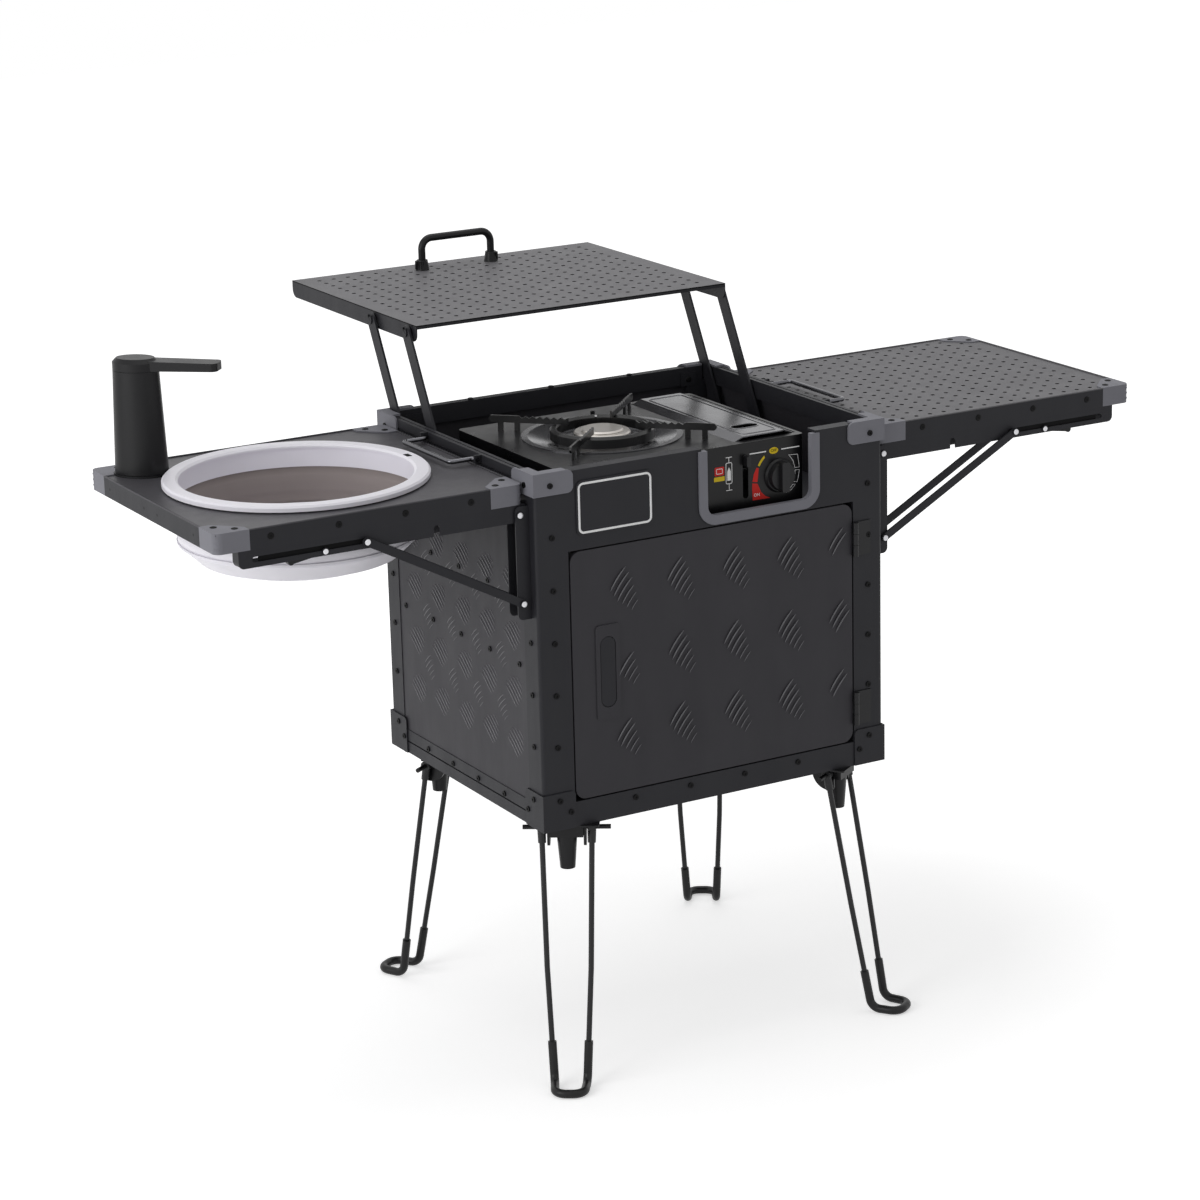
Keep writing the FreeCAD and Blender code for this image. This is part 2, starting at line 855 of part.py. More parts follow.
def flat_bar(foot, head, facing, width, sheet, pin_radius):
    """A flat bar with round ends and a pin hole near each end."""
    along = (head - foot).normalize()
    across = along.cross(facing).normalize() * (width / 2)
    end = along * (width / 2)
    turn = width * round_share
    points = [foot - end - across, foot - end + across, head + end + across, head + end - across]
    bar = plate(points, [turn] * len(points), facing * sheet)
    for centre in (foot, head):
        bar = bar.cut(rod(centre - facing * overrun, facing, pin_radius + running_gap,
                          sheet + 2 * overrun))
    return bar


def link_foot(index):
    """A boss and a headed pin on the side wall that carry the foot of one link."""
    x0 = panel_recess + panel_sheet
    centre = Vector(x0, link_feet[index], link_foot_height)
    boss = rod(centre, east, link_width / 2, link_wall_gap - side_gap - x0)
    reach = link_wall_gap + link_sheet + side_gap
    pin = rod(centre, east, link_pin_radius, reach + pin_head_height - x0)
    head = rod(Vector(reach, link_feet[index], link_foot_height), east,
               pin_head_radius, pin_head_height)
    return boss.fuse([pin, head]).removeSplitter()


def build_links():
    nodes["lid_front_links"] = both_sides([link(0)])
    nodes["lid_rear_links"] = both_sides([link(1)])
    nodes["link_feet"] = both_sides([link_foot(0), link_foot(1)])


# Side tables

table_in = -table_gap
table_out = -table_gap - table_length
table_front = table_inset
table_back = box_depth - table_inset
table_low = table_top_height - table_thick
deck_top = table_top_height - edge_lip


def edge_channel(length):
    """A straight edge channel along X: an outer web, a ledge for the deck and a foot flange."""
    under = deck_top - table_low - table_sheet
    points = [(0, 0), (edge_flange, 0), (edge_flange, edge_flange_sheet),
              (edge_web, edge_flange_sheet), (edge_web, under - edge_flange_sheet),
              (edge_flange, under - edge_flange_sheet), (edge_flange, under),
              (edge_web, under), (edge_web, table_thick), (0, table_thick)]
    corners = [Vector(0, y, z) for y, z in points]
    return plate(corners, [0] * len(corners), Vector(length, 0, 0))


def table_edges():
    """Four edge channels between the corners of the left table."""
    long = edge_channel(table_length - 2 * corner_reach)
    long.translate(Vector(table_out + corner_reach, table_front, table_low))
    short = edge_channel(table_back - table_front - 2 * corner_reach)
    short.rotate(Vector(0, 0, 0), up, -quarter_turn)
    short.translate(Vector(table_out, table_back - corner_reach, table_low))
    middle = Vector((table_in + table_out) / 2, 0, 0)
    return [long, other_end(long), short, short.mirror(middle, east)]


def table_corner():
    """A plastic corner of the left table, at its front outer corner, with a slanted inner edge."""
    x0 = table_out
    y0 = table_front
    w = corner_width
    r = corner_reach
    points = [Vector(x0, y0, table_low), Vector(x0 + r, y0, table_low),
              Vector(x0 + r, y0 + w, table_low), Vector(x0 + w, y0 + r, table_low),
              Vector(x0, y0 + r, table_low)]
    solid = plate(points, [corner_round, 0, corner_fillet, corner_fillet, 0],
                  Vector(0, 0, table_thick))
    seat = block(x0 + edge_web, x0 + 2 * r, y0 + edge_web, y0 + 2 * r,
                 deck_top - table_sheet, deck_top)
    pocket = block(x0 + corner_wall, x0 + r - corner_wall, y0 + corner_wall, y0 + w,
                   table_low - overrun, table_low + table_thick / 2)
    return solid.cut(pocket).cut(seat)


def table_corners():
    one = table_corner()
    middle = Vector((table_in + table_out) / 2, 0, 0)
    return both_ends([one, one.mirror(middle, east)])


def table_deck():
    """The sheet that lies inside the edges of the left table."""
    return block(table_out + edge_web, table_in - edge_web, table_front + edge_web,
                 table_back - edge_web, deck_top - table_sheet, deck_top)


# Folding brackets

fold_x = -fold_out
bar_back = bar_front + bar_width
arm_front = bar_front + bar_sheet + arm_gap
arm_back = bar_back - bar_sheet - arm_gap
strut_front = bar_front - strut_gap - strut_sheet
strut_back = bar_back + strut_gap
strut_head_x = fold_x - strut_reach
strut_length = math.hypot(strut_reach, fold_height - strut_foot_height)
slot_end = fold_height - strut_foot_height + strut_length
strut_rest_angle = math.degrees(math.atan2(fold_height - strut_foot_height, strut_reach))
strut_ratio = (quarter_turn + strut_rest_angle) / quarter_turn
lever_x = fold_x - lever_place
lever_z = fold_height - lever_rise


def bracket_bar():
    """The upright channel on the box's side, front left."""
    top = fold_height + bar_top_round
    web = block(-bar_sheet / 2, 0, bar_front, bar_back, bar_low, top)
    walls = []
    for y in (bar_front, bar_back - bar_sheet):
        points = [Vector(0, y, bar_low), Vector(-bar_depth, y, bar_low),
                  Vector(-bar_depth, y, fold_height),
                  Vector(fold_x - bar_depth + fold_out, y, top), Vector(0, y, top)]
        turns = [0, bar_round, 0, 0, 0]
        wall = plate(points[:3] + [Vector(-bar_depth, y, top), Vector(0, y, top)],
                     turns[:3] + [bar_depth - fold_out, 0], Vector(0, bar_sheet, 0))
        walls.append(wall)
    return web.fuse(walls).removeSplitter()


def bracket_pins():
    """The pivot pins of one bracket: one for the arm, one for the pair of struts."""
    arm_start = bar_front - rivet_height
    arm_pin = rod(Vector(fold_x, arm_start, fold_height), north, fold_pin_radius,
                  bar_back + rivet_height - arm_start)
    arm_head = rod(Vector(fold_x, arm_start, fold_height), north, rivet_radius, rivet_height)
    strut_start = strut_front - rivet_height - strut_gap
    strut_end = strut_back + strut_sheet + strut_gap
    strut_pin = rod(Vector(fold_x, strut_start, strut_foot_height), north, fold_pin_radius,
                    strut_end + rivet_height - strut_start)
    heads = [rod(Vector(fold_x, y, strut_foot_height), north, rivet_radius, rivet_height)
             for y in (strut_start, strut_end)]
    return [arm_pin.fuse(arm_head).removeSplitter(), strut_pin.fuse(heads).removeSplitter()]


def table_arm():
    """The slotted arm under the table: a channel that is open below."""
    low = fold_height - arm_below
    high = table_low
    end = fold_x - arm_length
    inner = fold_x + arm_below
    points = [Vector(inner, arm_front, low), Vector(inner, arm_front, high),
              Vector(end, arm_front, high), Vector(end, arm_front, low)]
    width = arm_back - arm_front
    body = plate(points, [arm_below - arm_wall, 0, 0, arm_end_round], Vector(0, width, 0))
    inside = block(end + arm_wall, fold_x + table_length, arm_front + arm_wall,
                   arm_back - arm_wall, low - overrun, high - arm_wall)
    slot = front_plate(fold_x - slot_end - slot_height, fold_x - slot_start,
                       fold_height - slot_height / 2, fold_height + slot_height / 2,
                       arm_front - overrun, arm_back + overrun,
                       slot_height * round_share)
    half = fold_pin_radius + pin_notch_gap
    notch_x = fold_x - fold_height + strut_foot_height
    notch = front_plate(notch_x - half, notch_x + half, low - 2 * half, fold_height + half,
                        arm_front - overrun, arm_back + overrun, 2 * half * round_share)
    hole = rod(Vector(fold_x, arm_front - overrun, fold_height), north,
               fold_pin_radius + running_gap, width + 2 * overrun)
    pin_hole = rod(Vector(lever_x, arm_front - overrun, lever_z), north,
                   lever_pin_radius, width + 2 * overrun)
    return body.cut(inside).cut([slot, notch]).cut(hole).cut(pin_hole)


def strut_pair():
    """The two flat struts of one bracket, each with a rivet at its head."""
    bars = []
    for y, rivet_y in ((strut_front, strut_front - rivet_height),
                       (strut_back, strut_back + strut_sheet)):
        foot = Vector(fold_x, y, strut_foot_height)
        head = Vector(strut_head_x, y, fold_height)
        bar = flat_bar(foot, head, north, strut_width, strut_sheet, fold_pin_radius)
        shank = rod(head, north, fold_pin_radius + running_gap, strut_sheet)
        rivet = rod(Vector(strut_head_x, rivet_y, fold_height), north, rivet_radius, rivet_height)
        bars.append(bar.fuse([shank, rivet]).removeSplitter())
    return bars


def lever():
    """The release lever inside the arm, with its tip below the arm."""
    y0 = (arm_front + arm_back - lever_thick) / 2
    half = lever_height / 2
    tip_x = lever_x - lever_reach
    tip_z = fold_height - lever_drop + lever_tip
    points = [Vector(lever_x + lever_height, y0, lever_z - half),
              Vector(lever_x + lever_height, y0, lever_z + half),
              Vector(lever_x - half, y0, lever_z + half),
              Vector(tip_x, y0, tip_z + half), Vector(tip_x, y0, tip_z - half)]
    body = plate(points, [half / 2, half / 2, 0, 0, 0], Vector(0, lever_thick, 0))
    bulb = rod(Vector(tip_x, y0, tip_z), north, lever_tip, lever_thick)
    hole = rod(Vector(lever_x, y0 - overrun, lever_z), north, lever_pin_radius + running_gap,
               lever_thick + 2 * overrun)
    return body.fuse(bulb).cut(hole).removeSplitter()


def lever_pin():
    """The headed pin that a release lever turns on."""
    start = arm_front - rivet_height
    pin = rod(Vector(lever_x, start, lever_z), north, lever_pin_radius,
              arm_back - arm_front + rivet_height)
    head = rod(Vector(lever_x, start, lever_z), north, rivet_radius, rivet_height)
    return pin.fuse(head).removeSplitter()


def build_tables():
    """Both tables with their arms, struts and levers, and the bars on the box's sides."""
    edges = table_edges()
    corners = table_corners()
    arms = both_ends([table_arm(), lever_pin()])
    struts = both_ends(strut_pair())
    front_lever = lever()
    for side in ("left", "right"):
        place = other_side if side == "right" else (lambda shape: shape.copy())
        nodes[side + "_table_edges"] = [place(shape) for shape in edges]
        nodes[side + "_table_corners"] = [place(shape) for shape in corners]
        nodes[side + "_table_arms"] = [place(shape) for shape in arms]
        nodes[side + "_struts"] = [place(shape) for shape in struts]
        nodes[side + "_front_lever"] = [place(front_lever)]
        nodes[side + "_rear_lever"] = [place(other_end(front_lever))]
    deck = table_deck()
    hole = rod(Vector(basin_x, basin_y, table_low), up, basin_wall_radius + table_hole_gap,
               2 * table_thick)
    pocket = faucet_pocket()
    nodes["left_table_corners"] = [shape.cut(pocket) for shape in nodes["left_table_corners"]]
    seat = faucet_seat(peg_radius + socket_lip + side_gap)
    nodes["left_table_deck"] = [deck.cut(hole).cut(seat)]
    nodes["right_table_deck"] = [other_side(deck)]
    pins = bracket_pins()
    nodes["bracket_bars"] = four_corners([bracket_bar().cut(pins)] + pins)


# Basin

basin_x = (table_in + table_out) / 2 - basin_shift
basin_y = box_depth / 2 - basin_forward
basin_wall_radius = basin_y - bar_back - basin_arm_gap
basin_rim_radius = basin_wall_radius + basin_rim_out
basin_rim_inner = basin_wall_radius - basin_rim_in
basin_seat = table_top_height + basin_rim_seat
basin_top = basin_seat + basin_rim_height
wall_low = basin_top - basin_wall_depth
soft_low = wall_low - basin_soft_depth
base_low = soft_low - basin_base_depth


def ring_points(radius, sheet, heights, waves):
    """The outer and inner outline of a wall that goes in and out below its straight lap."""
    outer = []
    for i, height in enumerate(heights):
        fold = waves if i % 2 and i > 1 else 0
        outer.append((radius - fold, height))
    inner = [(r - sheet, height) for r, height in reversed(outer)]
    return outer + inner


def build_basin():
    """The stiff rim and wall, the soft folded band and the stiff base of the basin."""
    centre = Vector(basin_x, basin_y, 0)
    inner = basin_wall_radius - basin_wall
    crown = basin_rim_height / 3
    lip = inner - basin_wall
    nodes["basin_rim"] = [turned(
        [(inner, wall_low), (basin_wall_radius, wall_low), (basin_wall_radius, basin_seat),
         (basin_rim_radius, basin_seat), (basin_rim_radius, basin_top - crown),
         (basin_rim_radius - crown, basin_top), (lip, basin_top),
         (basin_rim_inner, basin_top - crown), (basin_rim_inner, basin_top - 2 * crown),
         (inner, basin_top - 2 * crown)], centre)]
    steps = 2 * basin_folds - 1
    heights = [wall_low - basin_soft_depth * i / steps for i in range(steps + 1)]
    heights = [wall_low + basin_soft_lap, wall_low + basin_soft_lap / 2] + heights
    nodes["basin_soft_wall"] = [turned(
        ring_points(basin_wall_radius + side_gap + basin_soft_sheet, basin_soft_sheet, heights,
                    basin_fold_depth), centre)]
    r = basin_wall_radius - basin_base_step
    w = basin_base_sheet
    flat = r - basin_base_slope
    belly = (r + flat) / 2
    half = base_low + basin_base_depth / 4
    seam = inner - side_gap
    base = turned(
        [(drain_radius, base_low), (flat, base_low), (belly + w, half), (r, soft_low - 2 * w),
         (r, soft_low - w), (seam, soft_low - w), (seam, soft_low), (r - w, soft_low),
         (r - w, soft_low - w), (belly, half + w), (flat - w, base_low + w),
         (drain_radius, base_low + w)], centre)
    plug = turned(
        [(0, base_low), (drain_radius - running_gap, base_low),
         (drain_radius - running_gap, base_low + w), (drain_radius / 2, base_low + w),
         (drain_radius / 2, base_low + w + drain_height), (0, base_low + w + drain_height)],
        centre)
    nodes["basin_base"] = [base, plug]


# Faucet

faucet_x = -table_gap - faucet_out
faucet_y = table_back - faucet_inset
faucet_aim = Vector(basin_x - faucet_x, basin_y - faucet_y, 0).normalize()
faucet_angle = math.degrees(math.atan2(faucet_aim.y, faucet_aim.x))


def oval(long, short, height):
    """An upright oval ring at a height above the table."""
    ring = Part.Ellipse(Vector(0, 0, height), long, short).toShape()
    return Part.Wire([ring])


def to_faucet(shape):
    """Turns a piece towards the basin and stands it at the faucet's place."""
    shape.rotate(Vector(0, 0, 0), up, faucet_angle)
    shape.translate(Vector(faucet_x, faucet_y, deck_top))
    return shape


def faucet_seat(radius):
    """A round hole through the deck for the faucet's socket."""
    return to_faucet(rod(Vector(0, 0, -2 * peg_length), up, radius, 2 * peg_length + table_thick))


def faucet_pocket():
    """The room that the socket's flange needs above the deck."""
    lip = socket_lip + side_gap
    return to_faucet(Part.Face(oval(faucet_long + lip, faucet_short + lip, 0)).extrude(
        Vector(0, 0, table_thick)))


def build_faucet():
    """A tapered oval body, a head with a flat spout that turns on it, and a table socket."""
    low = socket_height
    top = faucet_height
    head_low = top - faucet_head_height
    slim = faucet_top_share
    long = faucet_long * slim
    short = faucet_short * slim
    seam = head_low - faucet_seam
    body = Part.makeLoft([oval(faucet_long, faucet_short, low), oval(long, short, seam)], True)
    peg = rod(Vector(0, 0, low - peg_length), up, peg_radius - running_gap, peg_length)
    well = rod(Vector(0, 0, seam - neck_length - overrun), up, neck_radius + running_gap,
               2 * neck_length)
    nodes["faucet_body"] = [to_faucet(body.fuse(peg).cut(well).removeSplitter())]
    head = Part.makeLoft([oval(long, short, head_low), oval(long, short, top - faucet_crown)],
                         True)
    crown = Part.makeLoft([oval(long, short, top - faucet_crown),
                           oval(long - faucet_crown, short - faucet_crown, top)], True)
    half = spout_width / 2
    outline = [Vector(0, -half, top - faucet_crown / 2), Vector(0, -half, head_low),
               Vector(spout_length, -half, top - spout_droop - spout_tip_thick),
               Vector(spout_length, -half, top - spout_droop)]
    blade = plate(outline, [0] * len(outline), Vector(0, spout_width, 0))
    plan = plate([Vector(0, -half, 0), Vector(spout_length, -half, 0),
                  Vector(spout_length, half, 0), Vector(0, half, 0)],
                 [0, spout_round, spout_round, 0], Vector(0, 0, 2 * top))
    blade = blade.common(plan)
    stem = rod(Vector(0, 0, seam - neck_length), up, neck_radius, neck_length + 2 * faucet_seam)
    mouth_x = spout_length - 2 * mouth_radius
    mouth = rod(Vector(mouth_x, 0, 0), up, mouth_radius,
                top - spout_droop - spout_tip_thick + mouth_depth)
    head = head.fuse([crown, blade, stem]).cut(mouth).removeSplitter()
    nodes["faucet_spout"] = [to_faucet(head)]
    ring = Part.Face(oval(faucet_long + socket_lip, faucet_short + socket_lip, 0))
    socket = ring.extrude(Vector(0, 0, socket_height - side_gap))
    sleeve = rod(Vector(0, 0, -peg_length), up, peg_radius + socket_lip, peg_length)
    hole = rod(Vector(0, 0, -2 * peg_length), up, peg_radius, 2 * peg_length + table_thick)
    nodes["faucet_socket"] = [to_faucet(socket.fuse(sleeve).cut(hole).removeSplitter())]


# Stove

stove_right = stove_left + stove_width
stove_back = stove_front + stove_depth
stove_low = shelf_top + stove_foot_height
stove_top = stove_low + stove_height
burner_x = stove_left + burner_in
burner_y = stove_front + burner_back
knob_x = stove_left + knob_in
knob_z = stove_low + knob_up
gas_x = stove_left + gas_slot_in
cover_left = stove_left + bay_left + cover_gap
cover_axis_x = stove_right - bay_right - cover_knuckle - side_gap
cover_axis_z = stove_top - cover_knuckle
cover_front = stove_front + bay_front + cover_gap
cover_back = stove_back - bay_back - cover_gap
gas_top = stove_low + gas_slot_high - gas_tab_gap


def build_stove_case():
    """The pressed case with the pan hole, the cartridge bay and the front controls' holes."""
    low = stove_low + stove_sheet
    outer = level_plate(stove_left, stove_right, stove_front, stove_back, low, stove_top,
                        stove_round)
    s = stove_sheet
    inner = level_plate(stove_left + s, stove_right - s, stove_front + s, stove_back - s,
                        low - overrun, stove_top - s, stove_round - s)
    bay = block(stove_left + bay_left, stove_right - bay_right, stove_front + bay_front,
                stove_back - bay_back, stove_top - 2 * s, stove_top + overrun)
    pan_hole = rod(Vector(burner_x, burner_y, low), up, pan_hole_radius, stove_height)
    shaft_hole = rod(Vector(knob_x, stove_front - overrun, knob_z), north,
                     knob_shaft_radius + gap, s + 2 * overrun)
    slot = front_plate(gas_x, gas_x + gas_slot_width, stove_low + gas_slot_low,
                       stove_low + gas_slot_high, stove_front - overrun,
                       stove_front + s + overrun, gas_slot_width * round_share)
    case = outer.cut(inner).cut(bay).cut(pan_hole).cut(shaft_hole).cut(slot)
    pin = rod(Vector(cover_axis_x, cover_front - cover_gap, cover_axis_z), north,
              cover_pin_radius, cover_back - cover_front + 2 * cover_gap)
    nodes["stove_case"] = [case, pin]
    wall_x = stove_left + bay_left - s
    divider = block(wall_x - s, wall_x, stove_front + s, stove_back - s, low, stove_top - s)
    tube_way = rod(Vector(wall_x - 2 * s, tube_y, knob_z), east, mixer_radius + gap, 4 * s)
    base = level_plate(stove_left, stove_right, stove_front, stove_back, stove_low, low,
                       stove_round)
    feet = []
    for x in (stove_left + stove_foot_inset, stove_right - stove_foot_inset):
        for y in (stove_front + stove_foot_inset, stove_back - stove_foot_inset):
            feet.append(Part.makeCone(stove_foot_radius - gap / 2, stove_foot_radius,
                                      stove_foot_height, Vector(x, y, shelf_top)))
    nodes["stove_base"] = [base, divider.cut(tube_way)] + feet


regulator_front = stove_front + regulator_back
tube_y = regulator_front + regulator_depth / 2


def build_burner():
    """The drip pan, the burner head on its neck, and the gas train behind the knob."""
    centre = Vector(burner_x, burner_y, 0)
    top = stove_top
    s = pan_sheet
    bottom = top - pan_depth
    lip = pan_hole_radius + pan_lip
    nodes["drip_pan"] = [turned(
        [(lip, top), (lip, top + s), (pan_hole_radius - pan_lip, top + s),
         (pan_flat_radius, bottom + s), (burner_radius + gap, bottom + s),
         (burner_radius + gap, bottom), (pan_flat_radius, bottom),
         (pan_hole_radius - pan_lip, top)], centre)]
    head_top = bottom + burner_height
    c = burner_cap_radius
    low = stove_low + stove_sheet
    nodes["burner_head"] = [turned(
        [(0, bottom), (burner_neck_radius, bottom), (burner_radius, bottom + gap),
         (burner_radius, head_top - gap), (burner_radius - gap, head_top), (c, head_top),
         (c, head_top + burner_cap_height - gap), (c - gap, head_top + burner_cap_height),
         (0, head_top + burner_cap_height)], centre)]
    neck = rod(Vector(burner_x, burner_y, low), up, burner_neck_radius, bottom - low)
    x0 = knob_x - regulator_width / 2
    y1 = regulator_front + regulator_depth
    body = block(x0, x0 + regulator_width, regulator_front, y1, knob_z - regulator_height / 2,
                 knob_z + regulator_height / 2)
    nose = rod(Vector(knob_x, y1, knob_z), north, regulator_height / 3, regulator_back)
    socket = rod(Vector(knob_x, regulator_front - overrun, knob_z), north,
                 knob_shaft_radius + running_gap, regulator_depth / 2 + overrun)
    regulator = body.fuse(nose).cut(socket).removeSplitter()
    turn = 3 * mixer_radius
    start = Vector(x0, tube_y, knob_z)
    corner = Vector(burner_x, tube_y, knob_z)
    end = Vector(burner_x, burner_y - burner_neck_radius, knob_z)
    tube = swept(open_wire([start, corner, end], [turn]), mixer_radius)
    column = rod(Vector(burner_x, burner_y, low), up, burner_neck_radius, stove_height)
    nodes["stove_base"].extend([neck, regulator, tube.cut(column)])


def support_arm():
    """One pan arm along +X: a bar with a wavy inner top, a round outer end and two posts."""
    base = stove_top
    top = stove_top + support_top
    low = top - support_arm_height
    end = support_arm_reach
    outline = [(support_arm_inner, low)]
    turns = [0]
    for place in (support_post_inset + support_post_spacing, support_post_inset):
        x0 = end - place - support_post_width / 2
        x1 = x0 + support_post_width
        outline += [(x0, low), (x0, base), (x1, base), (x1, low)]
        turns += [0, 0, 0, 0]
    outline += [(end, low), (end, top)]
    turns += [support_arm_height * round_share] * 2
    crest = end - support_flat_length
    step = (crest - support_arm_inner) / support_teeth
    for i in range(support_teeth):
        outline.append((crest - step * i, top))
        outline.append((crest - step * (i + 1 / 2), top - support_tooth_height))
        turns += [0, 0]
    outline.append((support_arm_inner, top))
    turns.append(0)
    y = -support_arm_sheet / 2
    corners = [Vector(x, y, z) for x, z in outline]
    return plate(corners, turns, Vector(0, support_arm_sheet, 0))


def build_pan_support():
    """The removable pan support: a thick ring with four wavy arms."""
    inner = support_ring_radius - support_ring_width
    height = support_ring_height
    crown = support_ring_width / 3
    ring = turned([(inner, 0), (support_ring_radius, 0), (support_ring_radius, height - crown),
                   (support_ring_radius - crown, height), (inner + crown, height),
                   (inner, height - crown)], Vector(0, 0, stove_top - support_ring_sink))
    arms = []
    for i in range(support_arms):
        arm = support_arm()
        arm.rotate(Vector(0, 0, 0), up, full_turn / support_arms * (i + 1 / 2))
        arms.append(arm)
    rest = ring.fuse(arms).removeSplitter()
    rest.translate(Vector(burner_x, burner_y, 0))
    nodes["pan_support"] = [rest]


def build_cover():
    """The arched cartridge cover with its finger hole, hinged along its outer edge."""
    x0 = cover_left
    x1 = cover_axis_x
    z0 = cover_axis_z
    z1 = stove_top - cover_gap
    s = cover_sheet
    crest = stove_top + cover_rise
    outline = [(x0, z1 - s), (x0, z1), (x0 + cover_shoulder, crest), (x1 - cover_shoulder, crest),
               (x1, z0 + cover_knuckle), (x1, z0 + cover_knuckle - s),
               (x1 - cover_shoulder, crest - s), (x0 + cover_shoulder, crest - s)]
    corners = [Vector(x, cover_front, z) for x, z in outline]
    length = cover_back - cover_front
    shell = plate(corners, [0] * len(corners), Vector(0, length, 0))
    axis = Vector(cover_axis_x, cover_front, cover_axis_z)
    shell = shell.fuse(rod(axis, north, cover_knuckle, length)).removeSplitter()
    bore = rod(axis - north * overrun, north, cover_pin_radius + running_gap,
               length + 2 * overrun)
    hole = level_plate((x0 + x1) / 2 - cover_hole_long / 2, (x0 + x1) / 2 + cover_hole_long / 2,
                       cover_front + cover_hole_back - cover_hole_radius,
                       cover_front + cover_hole_back + cover_hole_radius, z0, z0 + stove_height,
                       2 * cover_hole_radius * round_share)
    nodes["cartridge_cover"] = [shell.cut(bore).cut(hole)]


def build_controls():
    """The gas knob on its shaft, and the cartridge lever in its slot."""
    y1 = stove_front - knob_gap
    y0 = y1 - knob_depth
    r = knob_radius
    skirt = Part.makeCone(r, r - gap, knob_skirt, Vector(knob_x, y1, knob_z), -north)
    core = Part.makeCone(r - knob_skirt, r - knob_skirt - gap, knob_depth - knob_bar_depth,
                         Vector(knob_x, y1, knob_z), -north)
    bar = front_plate(knob_x - knob_bar_width / 2, knob_x + knob_bar_width / 2,
                      knob_z - r + knob_skirt, knob_z + r - knob_skirt, y0, y1, gap)
    knob = skirt.fuse([core, bar]).removeSplitter()
    shaft = rod(Vector(knob_x, y1, knob_z), north, knob_shaft_radius,
                knob_gap + regulator_back + regulator_depth / 3)
    nodes["gas_knob"] = [knob, shaft]
    g = gas_tab_gap
    x0 = gas_x + g
    x1 = gas_x + gas_slot_width - g
    nodes["cartridge_lever"] = [front_plate(x0, x1, gas_top - gas_tab_height, gas_top,
                                            stove_front - gas_tab_out,
                                            stove_front + gas_tab_in, g)]


# Legs

cheek_outer = leg_spread - eye_radius - cheek_gap
toe_height = leg_pivot_drop - floor_drop + rubber_radius


def to_leg(shape, drop):
    """Turns a leg piece to the front left corner and hangs it under the box."""
    placed = shape.copy()
    placed.rotate(Vector(0, 0, 0), up, -leg_turn)
    placed.translate(Vector(leg_in, leg_back, -drop))
    return placed


def leg_path(drop):
    """The middle line of the bent leg wire: down one side, round the toe and up again."""
    toe = drop - floor_drop + rubber_radius
    half = [Vector(-leg_spread, 0, 0),
            Vector(-knee_spread, -elbow_out * knee_share, toe * knee_share),
            Vector(-elbow_spread, -elbow_out, toe),
            Vector(-toe_spread, -elbow_out - toe_reach, toe)]
    return half + [Vector(-point.x, point.y, point.z) for point in reversed(half)]


def leg_wire(drop):
    turns = [knee_radius, elbow_radius, toe_radius, toe_radius, elbow_radius, knee_radius]
    return swept(open_wire(leg_path(drop), turns), wire_radius)


def leg_rubber(drop):
    """The rubber sleeve round the bent lower end of the wire."""
    points = leg_path(drop)[2:-2]
    knee = leg_path(drop)[1]
    upward = (knee - points[0]).normalize() * rubber_length
    start = points[0] + upward
    points = [start] + points + [Vector(-start.x, start.y, start.z)]
    path = open_wire(points, [elbow_radius, toe_radius, toe_radius, elbow_radius])
    return swept(path, rubber_radius).cut(swept(path, wire_radius))


def leg_eye(drop, sign):
    """An eye round the axle with a short sleeve that grips one end of the wire."""
    top = Vector(sign * leg_spread, 0, 0)
    knee = leg_path(drop)[1]
    down = (Vector(sign * knee_spread, knee.y, knee.z) - top).normalize()
    sleeve = Part.makeCone(eye_radius - overrun, eye_sleeve_radius, eye_sleeve_length, top, down)
    barrel = rod(top - east * (eye_width / 2), east, eye_radius, eye_width)
    bore = rod(top - east * eye_width, east, axle_radius + running_gap, 2 * eye_width)
    way = rod(top, down, wire_radius, 2 * eye_sleeve_length)
    return barrel.fuse(sleeve).cut(way).cut(bore).removeSplitter()


def leg(drop):
    """One folding leg: its bent wire, the rubber round its toe and an eye at each end."""
    eyes = [leg_eye(drop, -1), leg_eye(drop, 1)]
    wire = leg_wire(drop)
    clear = rod(Vector(-axle_length / 2, 0, 0), east, eye_radius - overrun, axle_length)
    return [wire.cut(clear), leg_rubber(drop)] + eyes


def leg_cheek(sign, drop):
    """A quarter disc beside the wire, under the bracket's plate."""
    r = cheek_radius
    top = drop - leg_plate_sheet
    x0 = sign * cheek_inner
    x1 = sign * cheek_outer
    points = [Vector(x0, -eye_radius, top), Vector(x0, -eye_radius, -r), Vector(x0, r, -r),
              Vector(x0, r, top)]
    return plate(points, [0, cheek_heel, r, 0], Vector(x1 - x0, 0, 0))


def leg_bracket(drop):
    """The plate under the box, the saddle that carries the short foot, and two cheeks."""
    half = leg_plate_length / 2
    wide = leg_plate_width / 2
    base = level_plate(-half, half, -wide, wide, drop - leg_plate_sheet, drop, 2 * gap)
    saddle = block(-cheek_inner, cheek_inner, -saddle_width / 2, saddle_width / 2,
                   drop - saddle_drop, drop - leg_plate_sheet)
    frame = base.fuse([saddle, leg_cheek(-1, drop), leg_cheek(1, drop)]).removeSplitter()
    axle = rod(Vector(-axle_length / 2, 0, 0), east, axle_radius, axle_length)
    foot = Part.makeCone(short_foot_tip, short_foot_radius, short_foot_bottom - saddle_drop,
                         Vector(0, 0, drop - short_foot_bottom))
    return [frame.cut(axle), axle, foot.cut(axle)]


